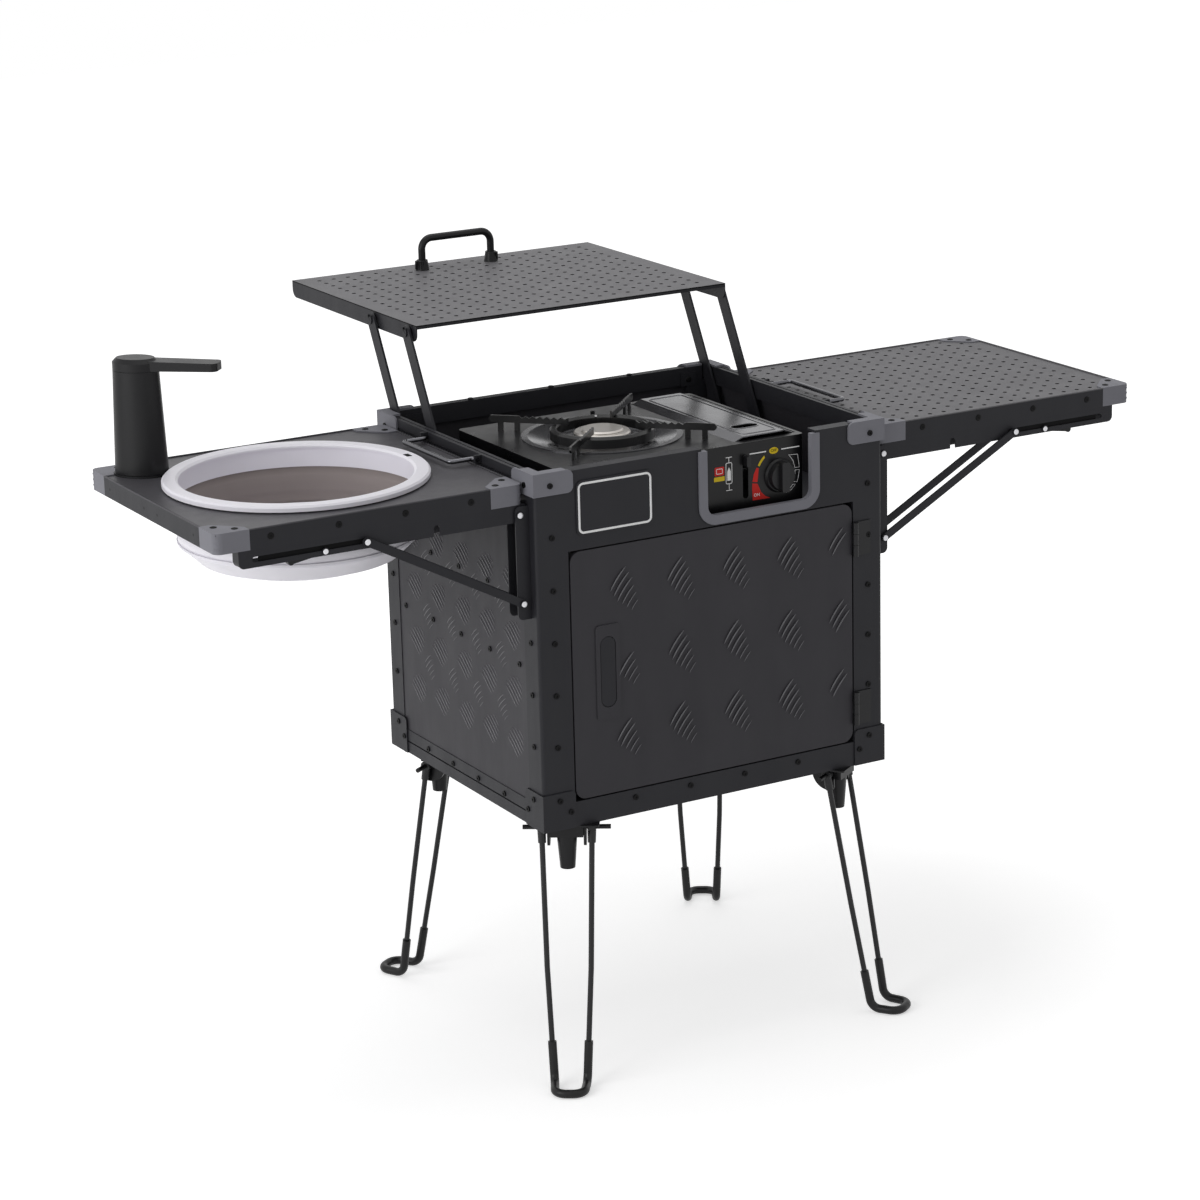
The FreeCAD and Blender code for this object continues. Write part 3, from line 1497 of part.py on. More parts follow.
def build_legs():
    """Four folding legs; the rear ones hang a little lower, so that they fold past the others."""
    ends = {"front": (leg_pivot_drop, False), "rear": (rear_pivot_drop, True)}
    brackets = []
    for end, (drop, mirrored) in ends.items():
        for side in ("left", "right"):
            def place(shape):
                shape = to_leg(shape, drop)
                shape = other_end(shape) if mirrored else shape
                return other_side(shape) if side == "right" else shape
            nodes["leg_" + end + "_" + side] = [place(shape) for shape in leg(drop)]
            brackets.extend(place(shape) for shape in leg_bracket(drop))
    nodes["leg_brackets"] = brackets


# Screws that hold the frame together

def screw_head(place, outward):
    """A low round head with a drive recess."""
    head = rod(place, outward, screw_radius, screw_height)
    socket = rod(place + outward * (screw_height / 2), outward, screw_socket, screw_height)
    return head.cut(socket)


def screw_row(end, count):
    """Places along the depth of the box, evenly spaced between two equal end margins."""
    pitch = (box_depth - 2 * end) / (count - 1)
    return [end + pitch * i for i in range(count)]


def corner_screws():
    """The screws of the front left post, of its cap and of its foot guard."""
    heights = post_screw_heights()
    front = [Vector(screw_inset, 0, z) for z in heights]
    side = [Vector(0, side_screw_inset, z) for z in heights[:side_screw_rows]]
    cap = rim_height - cap_screw_drop
    front.append(Vector(cap_screw_inset, -cap_sheet, cap))
    side.append(Vector(-cap_sheet, cap_screw_inset, cap))
    for out, z in ((screw_inset, guard_screw_high), (guard_screw_out, low_screw_height)):
        front.append(Vector(out, -guard_sheet, z))
        side.append(Vector(-guard_sheet, out, z))
    heads = [screw_head(place, -north) for place in front]
    return heads + [screw_head(place, -east) for place in side]


def build_screws():
    """The screws of the posts, the ledges, the lower rails and the rear rim."""
    rows = []
    for z in runner_heights:
        for y in screw_row(side_screw_end, side_screw_count):
            rows.append(screw_head(Vector(panel_recess, y, z), -east))
    for y in screw_row(low_screw_end, low_screw_count):
        rows.append(screw_head(Vector(0, y, low_screw_height), -east))
    front = []
    for i in range(front_screw_count):
        x = front_screw_start + front_screw_pitch * i
        front.append(screw_head(Vector(x, 0, low_screw_height), -north))
    rim = []
    for i in range(rim_screw_count):
        x = box_width / 2 + (i - (rim_screw_count - 1) / 2) * rim_screw_pitch
        rim.append(screw_head(Vector(x, box_depth - rail_wall / 2, rim_height), up))
    nodes["frame_screws"] = (four_corners(corner_screws()) + both_sides(rows) + both_ends(front)
                             + rim)


def build_all():
    build_frame()
    build_panels()
    build_front_panel()
    build_inside()
    build_corners()
    build_door()
    build_door_hinges()
    build_bails()
    build_lid()
    build_lid_handle()
    build_links()
    build_tables()
    build_basin()
    build_faucet()
    build_stove_case()
    build_burner()
    build_pan_support()
    build_cover()
    build_controls()
    build_legs()
    build_screws()


def footprint_middle():
    """The middle of the model's footprint, at the height of its lowest point."""
    bounds = FreeCAD.BoundBox()
    for shapes in nodes.values():
        for shape in shapes:
            bounds.add(shape.optimalBoundingBox(False, False))
    return Vector(bounds.Center.x, bounds.Center.y, bounds.ZMin)


def export_all(origin):
    os.makedirs("parts", exist_ok=True)
    for name, shapes in nodes.items():
        solids = []
        for shape in shapes:
            shape.translate(-origin)
            solids.extend(shape.Solids)
        Part.makeCompound(solids).exportStep("parts/" + name + ".step")


build_all()
row_origin = footprint_middle()
export_all(row_origin)
print("nodes", len(nodes), "origin", row_origin)
print("lid travel", lid_travel, "strut ratio", strut_ratio, "slot end", slot_end)
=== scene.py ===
# %% [markdown]
# # Camp kitchen box
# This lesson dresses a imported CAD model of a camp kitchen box: a framed metal box on folding wire legs,
# with two folding tables, a perforated lid, a gas stove, a soft basin and a faucet.
# The CAD pieces already have their true sizes and places, in metres, so we start by loading them.

# %% Load the frame
import math

import bmesh
import bpy
from mathutils import Matrix, Vector


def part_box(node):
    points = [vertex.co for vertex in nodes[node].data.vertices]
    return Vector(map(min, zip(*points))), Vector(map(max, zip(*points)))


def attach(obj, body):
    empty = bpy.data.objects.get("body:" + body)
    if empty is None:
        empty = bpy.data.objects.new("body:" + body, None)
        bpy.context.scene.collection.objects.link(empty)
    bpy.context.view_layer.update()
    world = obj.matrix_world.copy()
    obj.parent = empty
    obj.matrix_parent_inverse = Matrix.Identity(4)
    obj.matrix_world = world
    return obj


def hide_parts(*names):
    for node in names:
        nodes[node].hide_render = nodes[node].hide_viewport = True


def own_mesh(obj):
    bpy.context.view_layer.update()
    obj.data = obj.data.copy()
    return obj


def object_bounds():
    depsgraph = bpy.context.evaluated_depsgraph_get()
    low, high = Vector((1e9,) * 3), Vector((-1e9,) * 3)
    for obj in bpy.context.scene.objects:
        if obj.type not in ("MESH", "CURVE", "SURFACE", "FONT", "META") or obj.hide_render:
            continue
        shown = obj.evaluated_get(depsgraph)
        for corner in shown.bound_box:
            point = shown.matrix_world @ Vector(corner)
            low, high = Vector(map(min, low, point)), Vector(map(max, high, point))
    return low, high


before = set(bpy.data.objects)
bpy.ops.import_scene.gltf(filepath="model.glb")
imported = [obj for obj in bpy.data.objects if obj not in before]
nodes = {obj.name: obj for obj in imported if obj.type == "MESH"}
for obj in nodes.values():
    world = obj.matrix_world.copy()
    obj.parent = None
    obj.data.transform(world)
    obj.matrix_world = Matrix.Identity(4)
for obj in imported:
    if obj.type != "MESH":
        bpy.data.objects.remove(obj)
cad_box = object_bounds()
print("CAD box", [round(v, 4) for corner in cad_box for v in corner])

# %% [markdown]
# The box's own lower front left corner is a handy zero: every size on the real object is measured from it,
# in millimetres. The helper below turns such a measure into the frame's metres.

# %% Measures from the box's corner
corner_low, corner_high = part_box("corner_posts")
MM = 0.001
BOX_W = round((corner_high.x - corner_low.x) / MM, 3)
BOX_D = round((corner_high.y - corner_low.y) / MM, 3)
RIM = round((corner_high.z - corner_low.z) / MM, 3)


def at(x, y, z):
    """A point in metres from millimetres measured from the box's corner."""
    return corner_low + Vector((x, y, z)) * MM


def local(point):
    """Millimetres from the box's corner for a point in metres."""
    return (Vector(point) - corner_low) / MM


print("box", BOX_W, BOX_D, RIM)

# %% [markdown]
# ## Camera
# The photo was taken with a long lens from the left front, a little above the tables. The angles and the
# distance below come from lining up the box's edges with the photo. The picture is 1200 pixels square.

# %% Camera
PHOTO_SIZE = 1200
FOCAL_PIXELS = 3503.508
SENSOR = 36.0
AZIMUTH = math.radians(-29.39445)
ELEVATION = math.radians(16.36040)
ROLL = math.radians(-1.49087)
CAMERA_PLACE = at(-1921.35, -3563.76, 1485.26)


def camera_turn(azimuth, elevation, roll):
    """The turn of a camera that looks along an azimuth and down by an elevation."""
    forward = Vector((-math.sin(azimuth) * math.cos(elevation),
                      math.cos(azimuth) * math.cos(elevation), -math.sin(elevation)))
    right = Vector((math.cos(azimuth), math.sin(azimuth), 0))
    above = right.cross(forward)
    across = right * math.cos(roll) + above * math.sin(roll)
    upward = above * math.cos(roll) - right * math.sin(roll)
    return Matrix((across, upward, -forward)).transposed()


camera_data = bpy.data.cameras.new("photo_camera")
camera_data.sensor_width = SENSOR
camera_data.lens = FOCAL_PIXELS / PHOTO_SIZE * SENSOR
camera_data.clip_end = 100
camera = bpy.data.objects.new("photo_camera", camera_data)
camera.matrix_world = (Matrix.Translation(CAMERA_PLACE)
                       @ camera_turn(AZIMUTH, ELEVATION, ROLL).to_4x4())
bpy.context.scene.collection.objects.link(camera)
bpy.context.scene.camera = camera
print("lens", round(camera_data.lens, 2))

# %% [markdown]
# ## Stage and light
# A product photo stands on a white floor that melts into a white background, with a soft shadow under
# the box. Here the floor is a large matte sheet with a glow that only the camera and reflections see.
# The glow grows away from the box, so the shadow stays and the far floor fades into the white.

# %% Floor
FLOOR_GLOW_NEAR, FLOOR_GLOW_FAR = 0.50, 0.80
SHADOW_REACH, CLEAR_REACH = 0.55, 1.6


def new_tree(material):
    """The empty node tree of a material, with its output."""
    material.use_nodes = True
    tree = material.node_tree
    tree.nodes.clear()
    return tree, tree.nodes.new("ShaderNodeOutputMaterial")


def add(tree, kind, **values):
    """A node with its settings and socket values filled in."""
    node = tree.nodes.new(kind)
    for name, value in values.items():
        if name in node.inputs:
            node.inputs[name].default_value = value
        else:
            setattr(node, name, value)
    return node


def join(tree, *ends):
    """Links given in fours: node, output, node, input."""
    for i in range(0, len(ends), 4):
        source, leaving, target, entering = ends[i:i + 4]
        tree.links.new(source.outputs[leaving], target.inputs[entering])


def seen_rays(tree):
    """A mask that is 1 where the camera, or gloss or glass in its view, looks straight at it."""
    rays = tree.nodes.new("ShaderNodeLightPath")
    straight = add(tree, "ShaderNodeMath", operation="MAXIMUM")
    either = add(tree, "ShaderNodeMath", operation="MAXIMUM")
    join(tree, rays, "Is Camera Ray", straight, 0, rays, "Is Transmission Ray", straight, 1,
         straight, 0, either, 0, rays, "Is Glossy Ray", either, 1)
    return either


def make_floor_material():
    """A pale matte floor that the camera sees as white where no shadow falls."""
    material = bpy.data.materials.new("pale_floor")
    tree, out = new_tree(material)
    matte = add(tree, "ShaderNodeBsdfDiffuse")
    matte.inputs["Color"].default_value = (0.93, 0.93, 0.93, 1)
    place = tree.nodes.new("ShaderNodeTexCoord")
    away = add(tree, "ShaderNodeVectorMath", operation="LENGTH")
    fade = tree.nodes.new("ShaderNodeMapRange")
    for socket, value in (("From Min", SHADOW_REACH), ("From Max", CLEAR_REACH),
                          ("To Min", FLOOR_GLOW_NEAR), ("To Max", FLOOR_GLOW_FAR)):
        fade.inputs[socket].default_value = value
    glow = add(tree, "ShaderNodeEmission")
    join(tree, place, "Object", away, 0, away, "Value", fade, "Value",
         fade, 0, glow, "Strength")
    lifted = add(tree, "ShaderNodeAddShader")
    choice = add(tree, "ShaderNodeMixShader")
    join(tree, seen_rays(tree), 0, choice, 0, matte, 0, lifted, 0, glow, 0, lifted, 1,
         matte, 0, choice, 1, lifted, 0, choice, 2, choice, 0, out, "Surface")
    return material


FLOOR_HALF, FLOOR_GAP = 9.0, 0.0005
floor_data = bpy.data.meshes.new("floor")
floor_data.from_pydata([(-FLOOR_HALF, -FLOOR_HALF, 0), (FLOOR_HALF, -FLOOR_HALF, 0),
                        (FLOOR_HALF, FLOOR_HALF, 0), (-FLOOR_HALF, FLOOR_HALF, 0)],
                       [], [(0, 1, 2, 3)])
floor = bpy.data.objects.new("floor", floor_data)
floor.location.z = cad_box[0].z - FLOOR_GAP
floor_data.materials.append(make_floor_material())
bpy.context.scene.collection.objects.link(floor)
print("floor at", round(floor.location.z, 4))

# %% [markdown]
# A studio has white walls all round. The world stands for them: plain white to the camera and in the
# reflections of bright metal, and dimmer as a light, so the box's black faces stay black.

# %% World
SEEN_LIGHT, SOFT_LIGHT = 1.0, 0.36
world = bpy.data.worlds.new("studio")
bpy.context.scene.world = world
world.use_nodes = True
world_tree = world.node_tree
world_tree.nodes.clear()
world_out = world_tree.nodes.new("ShaderNodeOutputWorld")
seen = add(world_tree, "ShaderNodeBackground", Strength=SEEN_LIGHT)
soft = add(world_tree, "ShaderNodeBackground", Strength=SOFT_LIGHT)
choice = world_tree.nodes.new("ShaderNodeMixShader")
for background in (seen, soft):
    background.inputs["Color"].default_value = (1, 1, 1, 1)
join(world_tree, seen_rays(world_tree), 0, choice, 0, soft, 0, choice, 1, seen, 0, choice, 2,
     choice, 0, world_out, "Surface")
print("world light", SOFT_LIGHT)

# %% [markdown]
# Three soft boxes light the product: a strong one on the left, whose light runs along the edges and the
# stove, one above for the decks, and a weak one in front. Area lamps give the same soft edges.

# %% Lamps

def soft_lamp(name, place, target, size, power):
    """A square soft box that shines from a place towards a target."""
    data = bpy.data.lights.new(name, "AREA")
    data.shape = "SQUARE"
    data.size = size
    data.energy = power
    lamp = bpy.data.objects.new(name, data)
    direction = Vector(target) - Vector(place)
    lamp.matrix_world = (Matrix.Translation(place)
                         @ direction.to_track_quat("-Z", "Y").to_matrix().to_4x4())
    bpy.context.scene.collection.objects.link(lamp)


middle = (cad_box[0] + cad_box[1]) / 2
for lamp_name, place, size, power in (("left_box", (-3.2, -0.6, 1.6), 2.2, 44),
                                      ("top_box", (0.1, 0.6, 3.4), 2.6, 30),
                                      ("front_box", (1.2, -3.6, 1.5), 2.2, 4)):
    soft_lamp(lamp_name, place, middle, size, power)
bpy.context.scene.view_settings.view_transform = "Standard"
print("stage ready")

# %% [markdown]
# ## Shared effects
# Three things show on nearly every surface: a fine grain from the coating, a slow change of tone, and
# faint scuffs that change how glossy it is. Each is a node group, built once, that a material places
# with its own numbers. They read Object coordinates, so a pattern stays on its piece when it moves.

# %% Node groups for grain, tone and scuffs
def new_group(name, inputs, outputs):
    """An empty shader group with named inputs and outputs."""
    group = bpy.data.node_groups.new(name, "ShaderNodeTree")
    for label, kind, value in inputs:
        socket = group.interface.new_socket(name=label, in_out="INPUT", socket_type=kind)
        socket.default_value = value
    for label, kind in outputs:
        group.interface.new_socket(name=label, in_out="OUTPUT", socket_type=kind)
    return group, group.nodes.new("NodeGroupInput"), group.nodes.new("NodeGroupOutput")


def make_grain_group():
    """Height of a fine pebbled coating."""
    group, given, out = new_group("Coating grain", [("Scale", "NodeSocketFloat", 900.0)],
                                  [("Height", "NodeSocketFloat")])
    place = group.nodes.new("ShaderNodeTexCoord")
    noise = add(group, "ShaderNodeTexNoise", Detail=2.0, Roughness=0.55)
    join(group, place, "Object", noise, "Vector", given, "Scale", noise, "Scale",
         noise, "Fac", out, "Height")
    return group


def make_tone_group():
    """A colour that wanders slowly between two near tones."""
    group, given, out = new_group("Slow tone", [("Light", "NodeSocketColor", (1, 1, 1, 1)),
                                                ("Dark", "NodeSocketColor", (0, 0, 0, 1)),
                                                ("Scale", "NodeSocketFloat", 9.0)],
                                  [("Color", "NodeSocketColor")])
    place = group.nodes.new("ShaderNodeTexCoord")
    noise = add(group, "ShaderNodeTexNoise", Detail=3.0, Roughness=0.6)
    blend = add(group, "ShaderNodeMix", data_type="RGBA")
    join(group, place, "Object", noise, "Vector", given, "Scale", noise, "Scale",
         noise, "Fac", blend, "Factor", given, "Light", blend, 6, given, "Dark", blend, 7,
         blend, 2, out, "Color")
    return group


def make_scuff_group():
    """Roughness with faint drawn-out scuffs."""
    group, given, out = new_group("Faint scuffs", [("Smooth", "NodeSocketFloat", 0.4),
                                                   ("Rough", "NodeSocketFloat", 0.6),
                                                   ("Scale", "NodeSocketFloat", 30.0)],
                                  [("Roughness", "NodeSocketFloat")])
    place = group.nodes.new("ShaderNodeTexCoord")
    stretch = add(group, "ShaderNodeMapping")
    stretch.inputs["Scale"].default_value = (1.0, 1.0, 0.25)
    noise = add(group, "ShaderNodeTexNoise", Detail=4.0, Roughness=0.7)
    span = group.nodes.new("ShaderNodeMapRange")
    join(group, place, "Object", stretch, "Vector", stretch, 0, noise, "Vector",
         given, "Scale", noise, "Scale", noise, "Fac", span, "Value",
         given, "Smooth", span, "To Min", given, "Rough", span, "To Max",
         span, 0, out, "Roughness")
    return group


GRAIN = make_grain_group()
TONE = make_tone_group()
SCUFFS = make_scuff_group()
print("groups", GRAIN.name, TONE.name, SCUFFS.name)

# %% [markdown]
# ## Finishes
# Colours are written as they look in the photo, as 8-bit red, green and blue, and turned to linear light.
# One builder wires the three groups to a Principled shader, and every finish is one call of it.

# %% Finish builder
TONE_SCALE, SCUFF_SCALE, GRAIN_DEPTH = 9.0, 26.0, 0.0004


def linear(rgb):
    """8-bit screen colour to linear light, with alpha."""
    def one(value):
        value /= 255
        return value / 12.92 if value <= 0.04045 else ((value + 0.055) / 1.055) ** 2.4
    return (one(rgb[0]), one(rgb[1]), one(rgb[2]), 1)


def grouped(tree, group, **values):
    """A placed group with its input values."""
    node = tree.nodes.new("ShaderNodeGroup")
    node.node_tree = group
    for name, value in values.items():
        node.inputs[name].default_value = value
    return node


def finish(name, rgb, rough, metallic=0.0, tone=0.12, grain=900.0, bump=0.12, specular=0.5,
           spread=0.12):
    """A material with grain, slow tone and scuffs around one colour."""
    material = bpy.data.materials.new(name)
    tree, out = new_tree(material)
    shader = add(tree, "ShaderNodeBsdfPrincipled")
    shader.inputs["Metallic"].default_value = metallic
    shader.inputs["Specular IOR Level"].default_value = specular
    base = linear(rgb)
    light = tuple(min(1, v * (1 + tone)) for v in base[:3]) + (1,)
    dark = tuple(v * (1 - tone) for v in base[:3]) + (1,)
    colour = grouped(tree, TONE, Light=light, Dark=dark, Scale=TONE_SCALE)
    scuff = grouped(tree, SCUFFS, Smooth=rough - spread, Rough=rough + spread, Scale=SCUFF_SCALE)
    pebble = grouped(tree, GRAIN, Scale=grain)
    relief = add(tree, "ShaderNodeBump", Strength=bump, Distance=GRAIN_DEPTH)
    join(tree, colour, "Color", shader, "Base Color", scuff, "Roughness", shader, "Roughness",
         pebble, "Height", relief, "Height", relief, "Normal", shader, "Normal",
         shader, 0, out, "Surface")
    return material


print("mid grey in linear light", round(linear((128, 128, 128))[0], 3))

# %% [markdown]
# The frame and the folding arms are steel with a pebbled black powder coat, both decks and the lid are
# grey coated sheet, and corners and knobs are moulded plastic. The stove is glossy black enamel with a
# bright cover and pan, and the basin is white plastic with a soft silicone band. Coats and plastics get
# a fine bump and high roughness, while bright metal is smooth, as it mirrors the white walls.

# %% All finishes
black_coat = finish("black_coat", (35, 35, 39), 0.52, bump=0.25, specular=0.2)
frame_coat = finish("frame_coat", (36, 36, 40), 0.50, bump=0.22, specular=0.2)
tread_coat = finish("tread_coat", (51, 50, 54), 0.55, bump=0.2, specular=0.22)
# Ridges of the tread strokes, lighter than the sheet: painted highlight where light catches them.
tread_ridge_highlight = finish("tread_ridge_highlight", (92, 91, 95), 0.38, bump=0.08, specular=0.5)
grey_sheet = finish("grey_sheet", (98, 97, 100), 0.55, grain=1400.0, bump=0.2, specular=0.3)
smooth_deck = finish("smooth_deck", (70, 69, 73), 0.42, grain=1400.0, bump=0.12, specular=0.3)
grey_plastic = finish("grey_plastic", (120, 120, 127), 0.58, grain=1600.0, bump=0.25, specular=0.3)
black_plastic = finish("black_plastic", (24, 24, 26), 0.42, grain=1800.0, bump=0.12, specular=0.25)
satin_black = finish("satin_black", (18, 18, 20), 0.38, bump=0.08, specular=0.22)
screw_black = finish("screw_black", (7, 7, 8), 0.5, bump=0.05, specular=0.12, spread=0.1)
bright_rivet = finish("bright_rivet", (236, 236, 240), 0.35, metallic=0.3, bump=0.05)
dark_wire = finish("dark_wire", (96, 96, 100), 0.22, metallic=1.0, bump=0.02, spread=0.08)
chrome_sheet = finish("chrome_sheet", (98, 98, 101), 0.22, metallic=1.0, grain=260.0, bump=0.004,
                      spread=0.08)
white_plastic = finish("white_plastic", (240, 238, 245), 0.4, tone=0.02, grain=1600.0, bump=0.05,
                       specular=0.3)
soft_band = finish("soft_band", (150, 141, 138), 0.7, tone=0.05, grain=1500.0, bump=0.15,
                   specular=0.2)
band_coat = finish("band_coat", (208, 201, 206), 0.6, tone=0.04, grain=1500.0, bump=0.1,
                   specular=0.2)
cast_black = finish("cast_black", (11, 11, 12), 0.30, grain=1200.0, bump=0.12, specular=0.45)
gloss_black = finish("gloss_black", (13, 13, 15), 0.30, bump=0.03, specular=0.22, spread=0.1)
burner_steel = finish("burner_steel", (186, 182, 177), 0.34, metallic=0.9, bump=0.1)
mark_white = finish("mark_white", (253, 253, 254), 0.5, tone=0.02, bump=0.02, specular=0.2)
mark_yellow = finish("mark_yellow", (226, 196, 38), 0.5, tone=0.04, bump=0.02, specular=0.2)
mark_red = finish("mark_red", (206, 42, 36), 0.5, tone=0.04, bump=0.02, specular=0.2)
# Near black: painted shade on the hole walls, screw sockets, overflow slot and slotted-arm strips; also
# the black print of the OFF word.
shade_and_print_black = finish("shade_and_print_black", (10, 10, 11), 0.7, bump=0.02, specular=0.1)
print("finishes", len(bpy.data.materials))

# %% [markdown]
# Two kinds of piece show two colours. A leg is black wire with a rubber sleeve on its lowest part, and a
# table's edge is black on its side and deck grey on its thin top rim. Each is one CAD piece, so its
# material picks the colour by height in the piece's own coordinates, which stays when the piece folds.

# %% Finishes in two colours
SLEEVE_TOP = 0.058
DECK_FACE = at(0, 0, 438.6).z


def two_tone(name, rgb, other_rgb, operation, height, **values):
    """A finish that takes another colour where the height is below or above a limit."""
    material = finish(name, rgb, **values)
    tree = material.node_tree
    shader = next(node for node in tree.nodes if node.type == "BSDF_PRINCIPLED")
    place = tree.nodes.new("ShaderNodeTexCoord")
    split = tree.nodes.new("ShaderNodeSeparateXYZ")
    passed = add(tree, "ShaderNodeMath", operation=operation)
    passed.inputs[1].default_value = height
    blend = add(tree, "ShaderNodeMix", data_type="RGBA")
    blend.inputs[7].default_value = linear(other_rgb)
    tree.links.new(shader.inputs["Base Color"].links[0].from_socket, blend.inputs[6])
    join(tree, place, "Object", split, 0, split, "Z", passed, 0, passed, 0, blend, "Factor",
         blend, 2, shader, "Base Color")
    return material


EDGE_BLACK = (36, 36, 40)
leg_wire = two_tone("leg_wire", (26, 26, 28), (17, 17, 18), "LESS_THAN", SLEEVE_TOP, rough=0.4,
                    bump=0.1, specular=0.3)
left_edge, right_edge = [
    two_tone(name, EDGE_BLACK, deck_rgb, "GREATER_THAN", DECK_FACE, rough=0.52, bump=0.25,
             specular=0.2)
    for name, deck_rgb in (("left_edge", (70, 69, 73)), ("right_edge", (98, 97, 100)))]
print("two colours:", leg_wire.name, left_edge.name, right_edge.name)

# %% [markdown]
# ## Finishes on the CAD pieces
# Most CAD pieces keep their shape and only get a finish. The table below names one for each.

# %% Assign finishes
NODE_FINISH = {
    "corner_posts": frame_coat, "frame_rails": frame_coat, "front_panel": frame_coat,
    "cutout_trim": grey_plastic, "bare_plate": frame_coat, "side_panels": tread_coat,
    "back_panel": tread_coat, "floor_panel": tread_coat, "shelf_and_ledges": black_coat,
    "top_caps": grey_plastic, "foot_guards": frame_coat, "hinge_leaves_fixed": black_plastic,
    "hinge_leaves_door": black_plastic, "door_catch": black_plastic, "bail_ears": black_coat,
    "link_feet": black_coat, "bracket_bars": black_coat, "leg_brackets": satin_black,
    "frame_screws": screw_black, "door_panel": tread_coat, "pull_flap": frame_coat,
    "left_bail": dark_wire, "right_bail": dark_wire, "lid_front_links": black_coat,
    "lid_rear_links": black_coat, "lid_panel": grey_sheet, "lid_edges": black_coat,
    "lid_handle": satin_black,
    "left_table_deck": smooth_deck, "left_table_edges": left_edge,
    "left_table_corners": grey_plastic, "left_table_arms": black_coat,
    "faucet_socket": black_plastic, "right_table_deck": grey_sheet,
    "right_table_edges": right_edge, "right_table_corners": grey_plastic,
    "right_table_arms": black_coat, "left_struts": black_coat, "right_struts": black_coat,
    "left_front_lever": satin_black, "left_rear_lever": satin_black,
    "right_front_lever": satin_black, "right_rear_lever": satin_black,
    "basin_rim": white_plastic, "basin_base": white_plastic, "basin_soft_wall": soft_band,
    "faucet_body": satin_black, "faucet_spout": satin_black, "stove_case": gloss_black,
    "stove_base": black_coat, "burner_head": burner_steel, "drip_pan": chrome_sheet,
    "cartridge_cover": chrome_sheet, "pan_support": cast_black, "gas_knob": black_plastic,
    "cartridge_lever": black_plastic, "leg_front_left": leg_wire, "leg_front_right": leg_wire,
    "leg_rear_left": leg_wire, "leg_rear_right": leg_wire,
}
for node_name, node in nodes.items():
    node.data.materials.clear()
    node.data.materials.append(NODE_FINISH.get(node_name, black_coat))
print("dressed", len(nodes), "CAD pieces")

# %% [markdown]
# ## Pieces from geometry nodes
# The real box is full of things that repeat: holes, tread strokes, screws, rivets and ribs. Each kind
# is one node tree with named inputs for its sizes. The helpers below make an empty tree, wire it, and
# run it on a small source mesh, whose result becomes a plain mesh.

# %% Tree helpers
REAL = "NodeSocketFloat"
WHOLE = "NodeSocketInt"
TRIPLE = "NodeSocketVector"
FINISH = "NodeSocketMaterial"


def geometry_tree(name, inputs):
    """An empty geometry tree with named inputs."""
    tree = bpy.data.node_groups.new(name, "GeometryNodeTree")
    tree.interface.new_socket(name="Marks", in_out="INPUT", socket_type="NodeSocketGeometry")
    for label, kind in inputs:
        tree.interface.new_socket(name=label, in_out="INPUT", socket_type=kind)
    tree.interface.new_socket(name="Piece", in_out="OUTPUT", socket_type="NodeSocketGeometry")
    return tree, tree.nodes.new("NodeGroupInput"), tree.nodes.new("NodeGroupOutput")


def stand_on_marks(tree, given, part):
    """A part on every mark, turned as the mark says."""
    turn = add(tree, "GeometryNodeInputNamedAttribute", data_type="FLOAT_VECTOR", Name="turn")
    facing = add(tree, "FunctionNodeEulerToRotation")
    spread = add(tree, "GeometryNodeInstanceOnPoints")
    join(tree, turn, "Attribute", facing, "Euler", given, "Marks", spread, "Points",
         part, 0, spread, "Instance", facing, "Rotation", spread, "Rotation")
    return spread


def close_tree(tree, given, out, last, leaving):
    """Real geometry with its finish, at the end of every tree."""
    real = add(tree, "GeometryNodeRealizeInstances")
    dressed = add(tree, "GeometryNodeSetMaterial")
    join(tree, last, leaving, real, "Geometry", real, "Geometry", dressed, "Geometry",
         given, "Finish", dressed, "Material", dressed, "Geometry", out, "Piece")
    return dressed


def frozen(source):
    """The final mesh of an object that is only needed to make it."""
    bpy.context.scene.collection.objects.link(source)
    depsgraph = bpy.context.evaluated_depsgraph_get()
    shape = bpy.data.meshes.new_from_object(source.evaluated_get(depsgraph))
    bpy.data.objects.remove(source)
    return shape


def as_piece(name, shape, finish_of=None):
    """A mesh as a named piece, in one finish if one is given."""
    shape.name = name
    if finish_of:
        shape.materials.clear()
        shape.materials.append(finish_of)
    piece = bpy.data.objects.new(name, shape)
    bpy.context.scene.collection.objects.link(piece)
    print(name, len(shape.vertices), "points")
    return piece


def grow(name, tree, source, **values):
    """A plain mesh piece, grown by a tree from a source mesh."""
    seed = bpy.data.objects.new(name + "_seed", source)
    modifier = seed.modifiers.new("grow", "NODES")
    modifier.node_group = tree
    for item in tree.interface.items_tree:
        if item.name in values:
            modifier[item.identifier] = values[item.name]
    return as_piece(name, frozen(seed))


def marks(name, places):
    """Loose points, each with the turn that points a small part along its direction."""
    mesh = bpy.data.meshes.new(name)
    mesh.from_pydata([at(*place) for place, facing in places], [], [])
    turns = mesh.attributes.new("turn", "FLOAT_VECTOR", "POINT")
    for i, (place, facing) in enumerate(places):
        turns.data[i].vector = Vector(facing).to_track_quat("Z", "Y").to_euler()
    return mesh


def seat(piece, body, slot, *replaced):
    """Puts a piece on its body and hides the nodes it stands for."""
    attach(piece, body)
    if replaced:
        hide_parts(*replaced)
    return piece


print("helpers ready")
